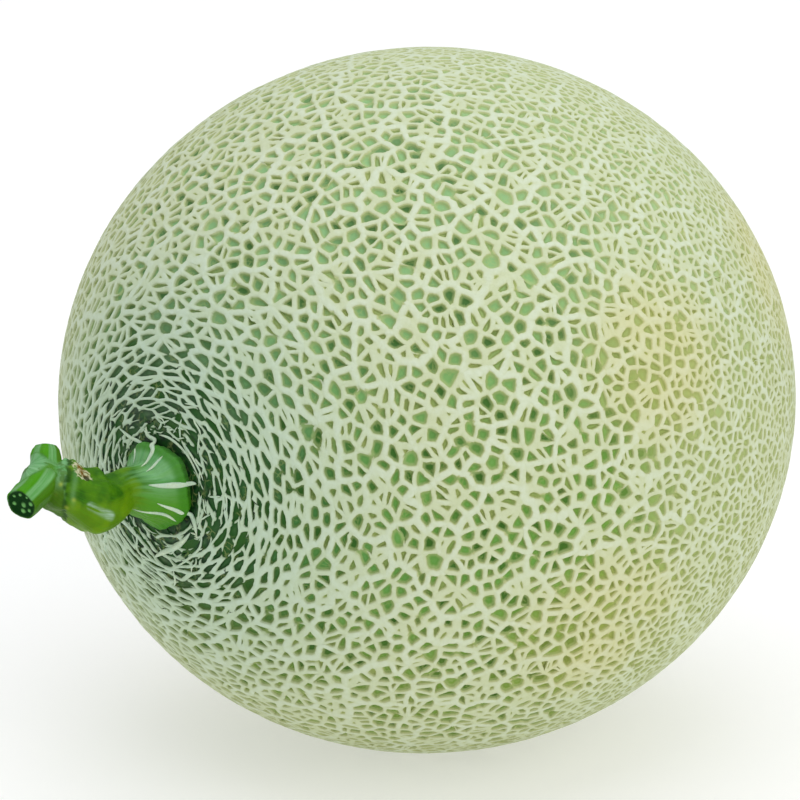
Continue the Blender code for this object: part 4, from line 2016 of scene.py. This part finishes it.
        dull = board.math(Sum.LARGER, board.math(Sum.LARGER, pale_streak_mask, scar), cut)
        rough = board.spread(dull, 0.0, 1.0, finish.live_roughness, finish.dull_roughness)
        board.feed(shader.inputs["Roughness"], rough)
        shader.inputs["Specular IOR Level"].default_value = finish.specular
        height = board.math(Sum.PLUS, board.math(Sum.TIMES, fine, 0.5), streaks)
        height = board.math(Sum.PLUS, height, board.math(Sum.TIMES, bark, scar))
        bump = board.bump(height, finish.relief_strength, finish.relief_height)
        board.feed(shader.inputs["Normal"], bump)
        return material

    def threads(self, finish: ThreadFinish) -> bpy.types.Material:
        """The corky threads round the stem.

        Args:
            finish: colours and grain.
        Returns:
            The material.
        """
        material, board, shader, place = self.sheet("corky_threads")
        tone = self.mottle.put(board, place, Scale=finish.tone_scale, Contrast=2.4)
        specks = self.mottle.put(board, place, Scale=finish.speck_scale, Contrast=2.0)
        colour = board.mix(tone, finish.cool, finish.pale)
        colour = board.mix(board.fade(specks, finish.speck_fade), colour, finish.speck)
        board.feed(shader.inputs["Base Color"], colour)
        shader.inputs["Roughness"].default_value = finish.roughness
        grain = self.grain.put(board, place, Scale=finish.grain_scale, Cracks=0.5)
        bump = board.bump(grain, finish.grain_strength, finish.grain_height)
        board.feed(shader.inputs["Normal"], bump)
        return material

    @staticmethod
    def _parts(board: NodeBoard, name: str) -> Tuple[Socket, Socket, Socket, Socket]:
        """The four masks that a point attribute holds.

        Args:
            board: the material's board.
            name: the attribute's name.
        Returns:
            The four masks.
        """
        made = board.node("ShaderNodeAttribute", attribute_name=name)
        parts = board.node("ShaderNodeSeparateColor")
        board.feed(parts.inputs[0], made.outputs["Color"])
        return (*parts.outputs[:3], made.outputs["Alpha"])


# Surroundings


@dataclass(frozen=True)
class Studio:
    """Pale floor, soft light and the camera at the photo's viewing angle."""

    azimuth: float = -45.89
    elevation: float = 18.45
    distance: float = 1.400
    lens: float = 295.03
    aim_right: float = -5.825 * MM
    aim_up: float = -0.117 * MM
    floor_half: float = 6.0
    floor_colour: Colour = (0.62, 0.61, 0.58)
    floor_glow: float = 0.42
    sky_colour: Colour = (0.95, 0.98, 1.02)
    sky_strength: float = 0.62
    overhead_height: float = 1.3
    overhead_side: float = 1.6
    overhead_power: float = 9.7
    overhead_colour: Colour = (0.97, 0.99, 1.13)
    front_back: float = 1.2
    front_right: float = 1.0
    front_rise: float = 0.5
    front_side: float = 1.2
    front_power: float = 7.7
    front_colour: Colour = (1.0, 0.98, 0.94)

    def axes(self) -> Tuple[Vector, Vector, Vector]:
        """The camera's right, up and back."""
        turn, rise = math.radians(self.azimuth), math.radians(self.elevation)
        back = Vector(
            (math.sin(turn) * math.cos(rise), -math.cos(turn) * math.cos(rise), math.sin(rise))
        )
        right = Vector((math.cos(turn), math.sin(turn), 0))
        return right, back.cross(right), back

    def camera(self, middle: np.ndarray) -> None:
        """Make the camera.

        Args:
            middle: the fruit's middle.
        """
        right, up, back = self.axes()
        place = Vector(middle) + back * self.distance + right * self.aim_right + up * self.aim_up
        turn = Matrix((right, up, back)).transposed().to_4x4()
        turn.translation = place
        data = bpy.data.cameras.new("photo_camera")
        data.lens = self.lens
        data.sensor_width = 36.0
        data.clip_end = 30.0
        camera = bpy.data.objects.new("photo_camera", data)
        bpy.context.scene.collection.objects.link(camera)
        camera.matrix_world = turn
        bpy.context.scene.camera = camera

    def lamp(
        self, name: str, place: Vector, aim: Vector, size: float, power: float, colour: Colour
    ) -> None:
        """A square soft light.

        Args:
            name: the light's name.
            place: where it hangs.
            aim: what it points at.
            size: its side.
            power: its power in watts.
            colour: its colour.
        """
        data = bpy.data.lights.new(name, "AREA")
        data.size = size
        data.energy = power
        data.color = colour
        lamp = bpy.data.objects.new(name, data)
        bpy.context.scene.collection.objects.link(lamp)
        lamp.location = place
        lamp.rotation_euler = (place - aim).to_track_quat("Z", "Y").to_euler()

    def build(self, middle: np.ndarray) -> None:
        """Make the floor, the lights and the camera.

        Args:
            middle: the fruit's middle.
        """
        bpy.ops.mesh.primitive_plane_add(size=2 * self.floor_half, location=(0, 0, 0))
        floor = bpy.context.object
        floor.name = "floor"
        material = bpy.data.materials.new("pale_floor")
        material.use_nodes = True
        shader = material.node_tree.nodes["Principled BSDF"]
        shader.inputs["Base Color"].default_value = (*self.floor_colour, 1.0)
        shader.inputs["Roughness"].default_value = 0.9
        shader.inputs["Emission Color"].default_value = (1.0, 1.0, 1.0, 1.0)
        shader.inputs["Emission Strength"].default_value = self.floor_glow
        floor.data.materials.append(material)

        world = bpy.data.worlds.new("pale_room")
        world.use_nodes = True
        sky = world.node_tree.nodes["Background"]
        sky.inputs["Color"].default_value = (*self.sky_colour, 1.0)
        sky.inputs["Strength"].default_value = self.sky_strength
        bpy.context.scene.world = world
        bpy.context.scene.view_settings.view_transform = "Standard"

        right, up, back = self.axes()
        aim = Vector(middle)
        above = aim + Vector((0, 0, self.overhead_height))
        front = aim + back * self.front_back + right * self.front_right
        front = front + Vector((0, 0, self.front_rise))
        side, power, colour = self.overhead_side, self.overhead_power, self.overhead_colour
        self.lamp("overhead_softbox", above, aim, side, power, colour)
        side, power, colour = self.front_side, self.front_power, self.front_colour
        self.lamp("front_softbox", front, aim, side, power, colour)
        self.camera(middle)


def main() -> None:
    """Build everything in order."""
    logging.basicConfig(level=logging.INFO, format="%(message)s")
    form = FruitForm()
    shop = Shop(form)
    studio = Studio()
    studio.build(form.middle)

    rind = NettedRind(form)
    rind.build(shop.rind(RindFinish()))
    for piece in rind.pieces:
        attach(piece, "root")
        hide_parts("melon")
        LOG.info("%s: %d faces", piece.name, len(piece.data.polygons))

    cut_stem = CutStem(form)
    stem = cut_stem.build(shop.stem(StemFinish()))
    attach(stem, "root")
    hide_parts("stem")
    LOG.info("%s: %d faces", stem.name, len(stem.data.polygons))

    threads = CorkyThreads(form).build(stem, cut_stem.stem, shop.threads(ThreadFinish()))
    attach(threads, "root")
    LOG.info("%s: %d faces", threads.name, len(threads.data.polygons))


if __name__ == "__main__":
    main()
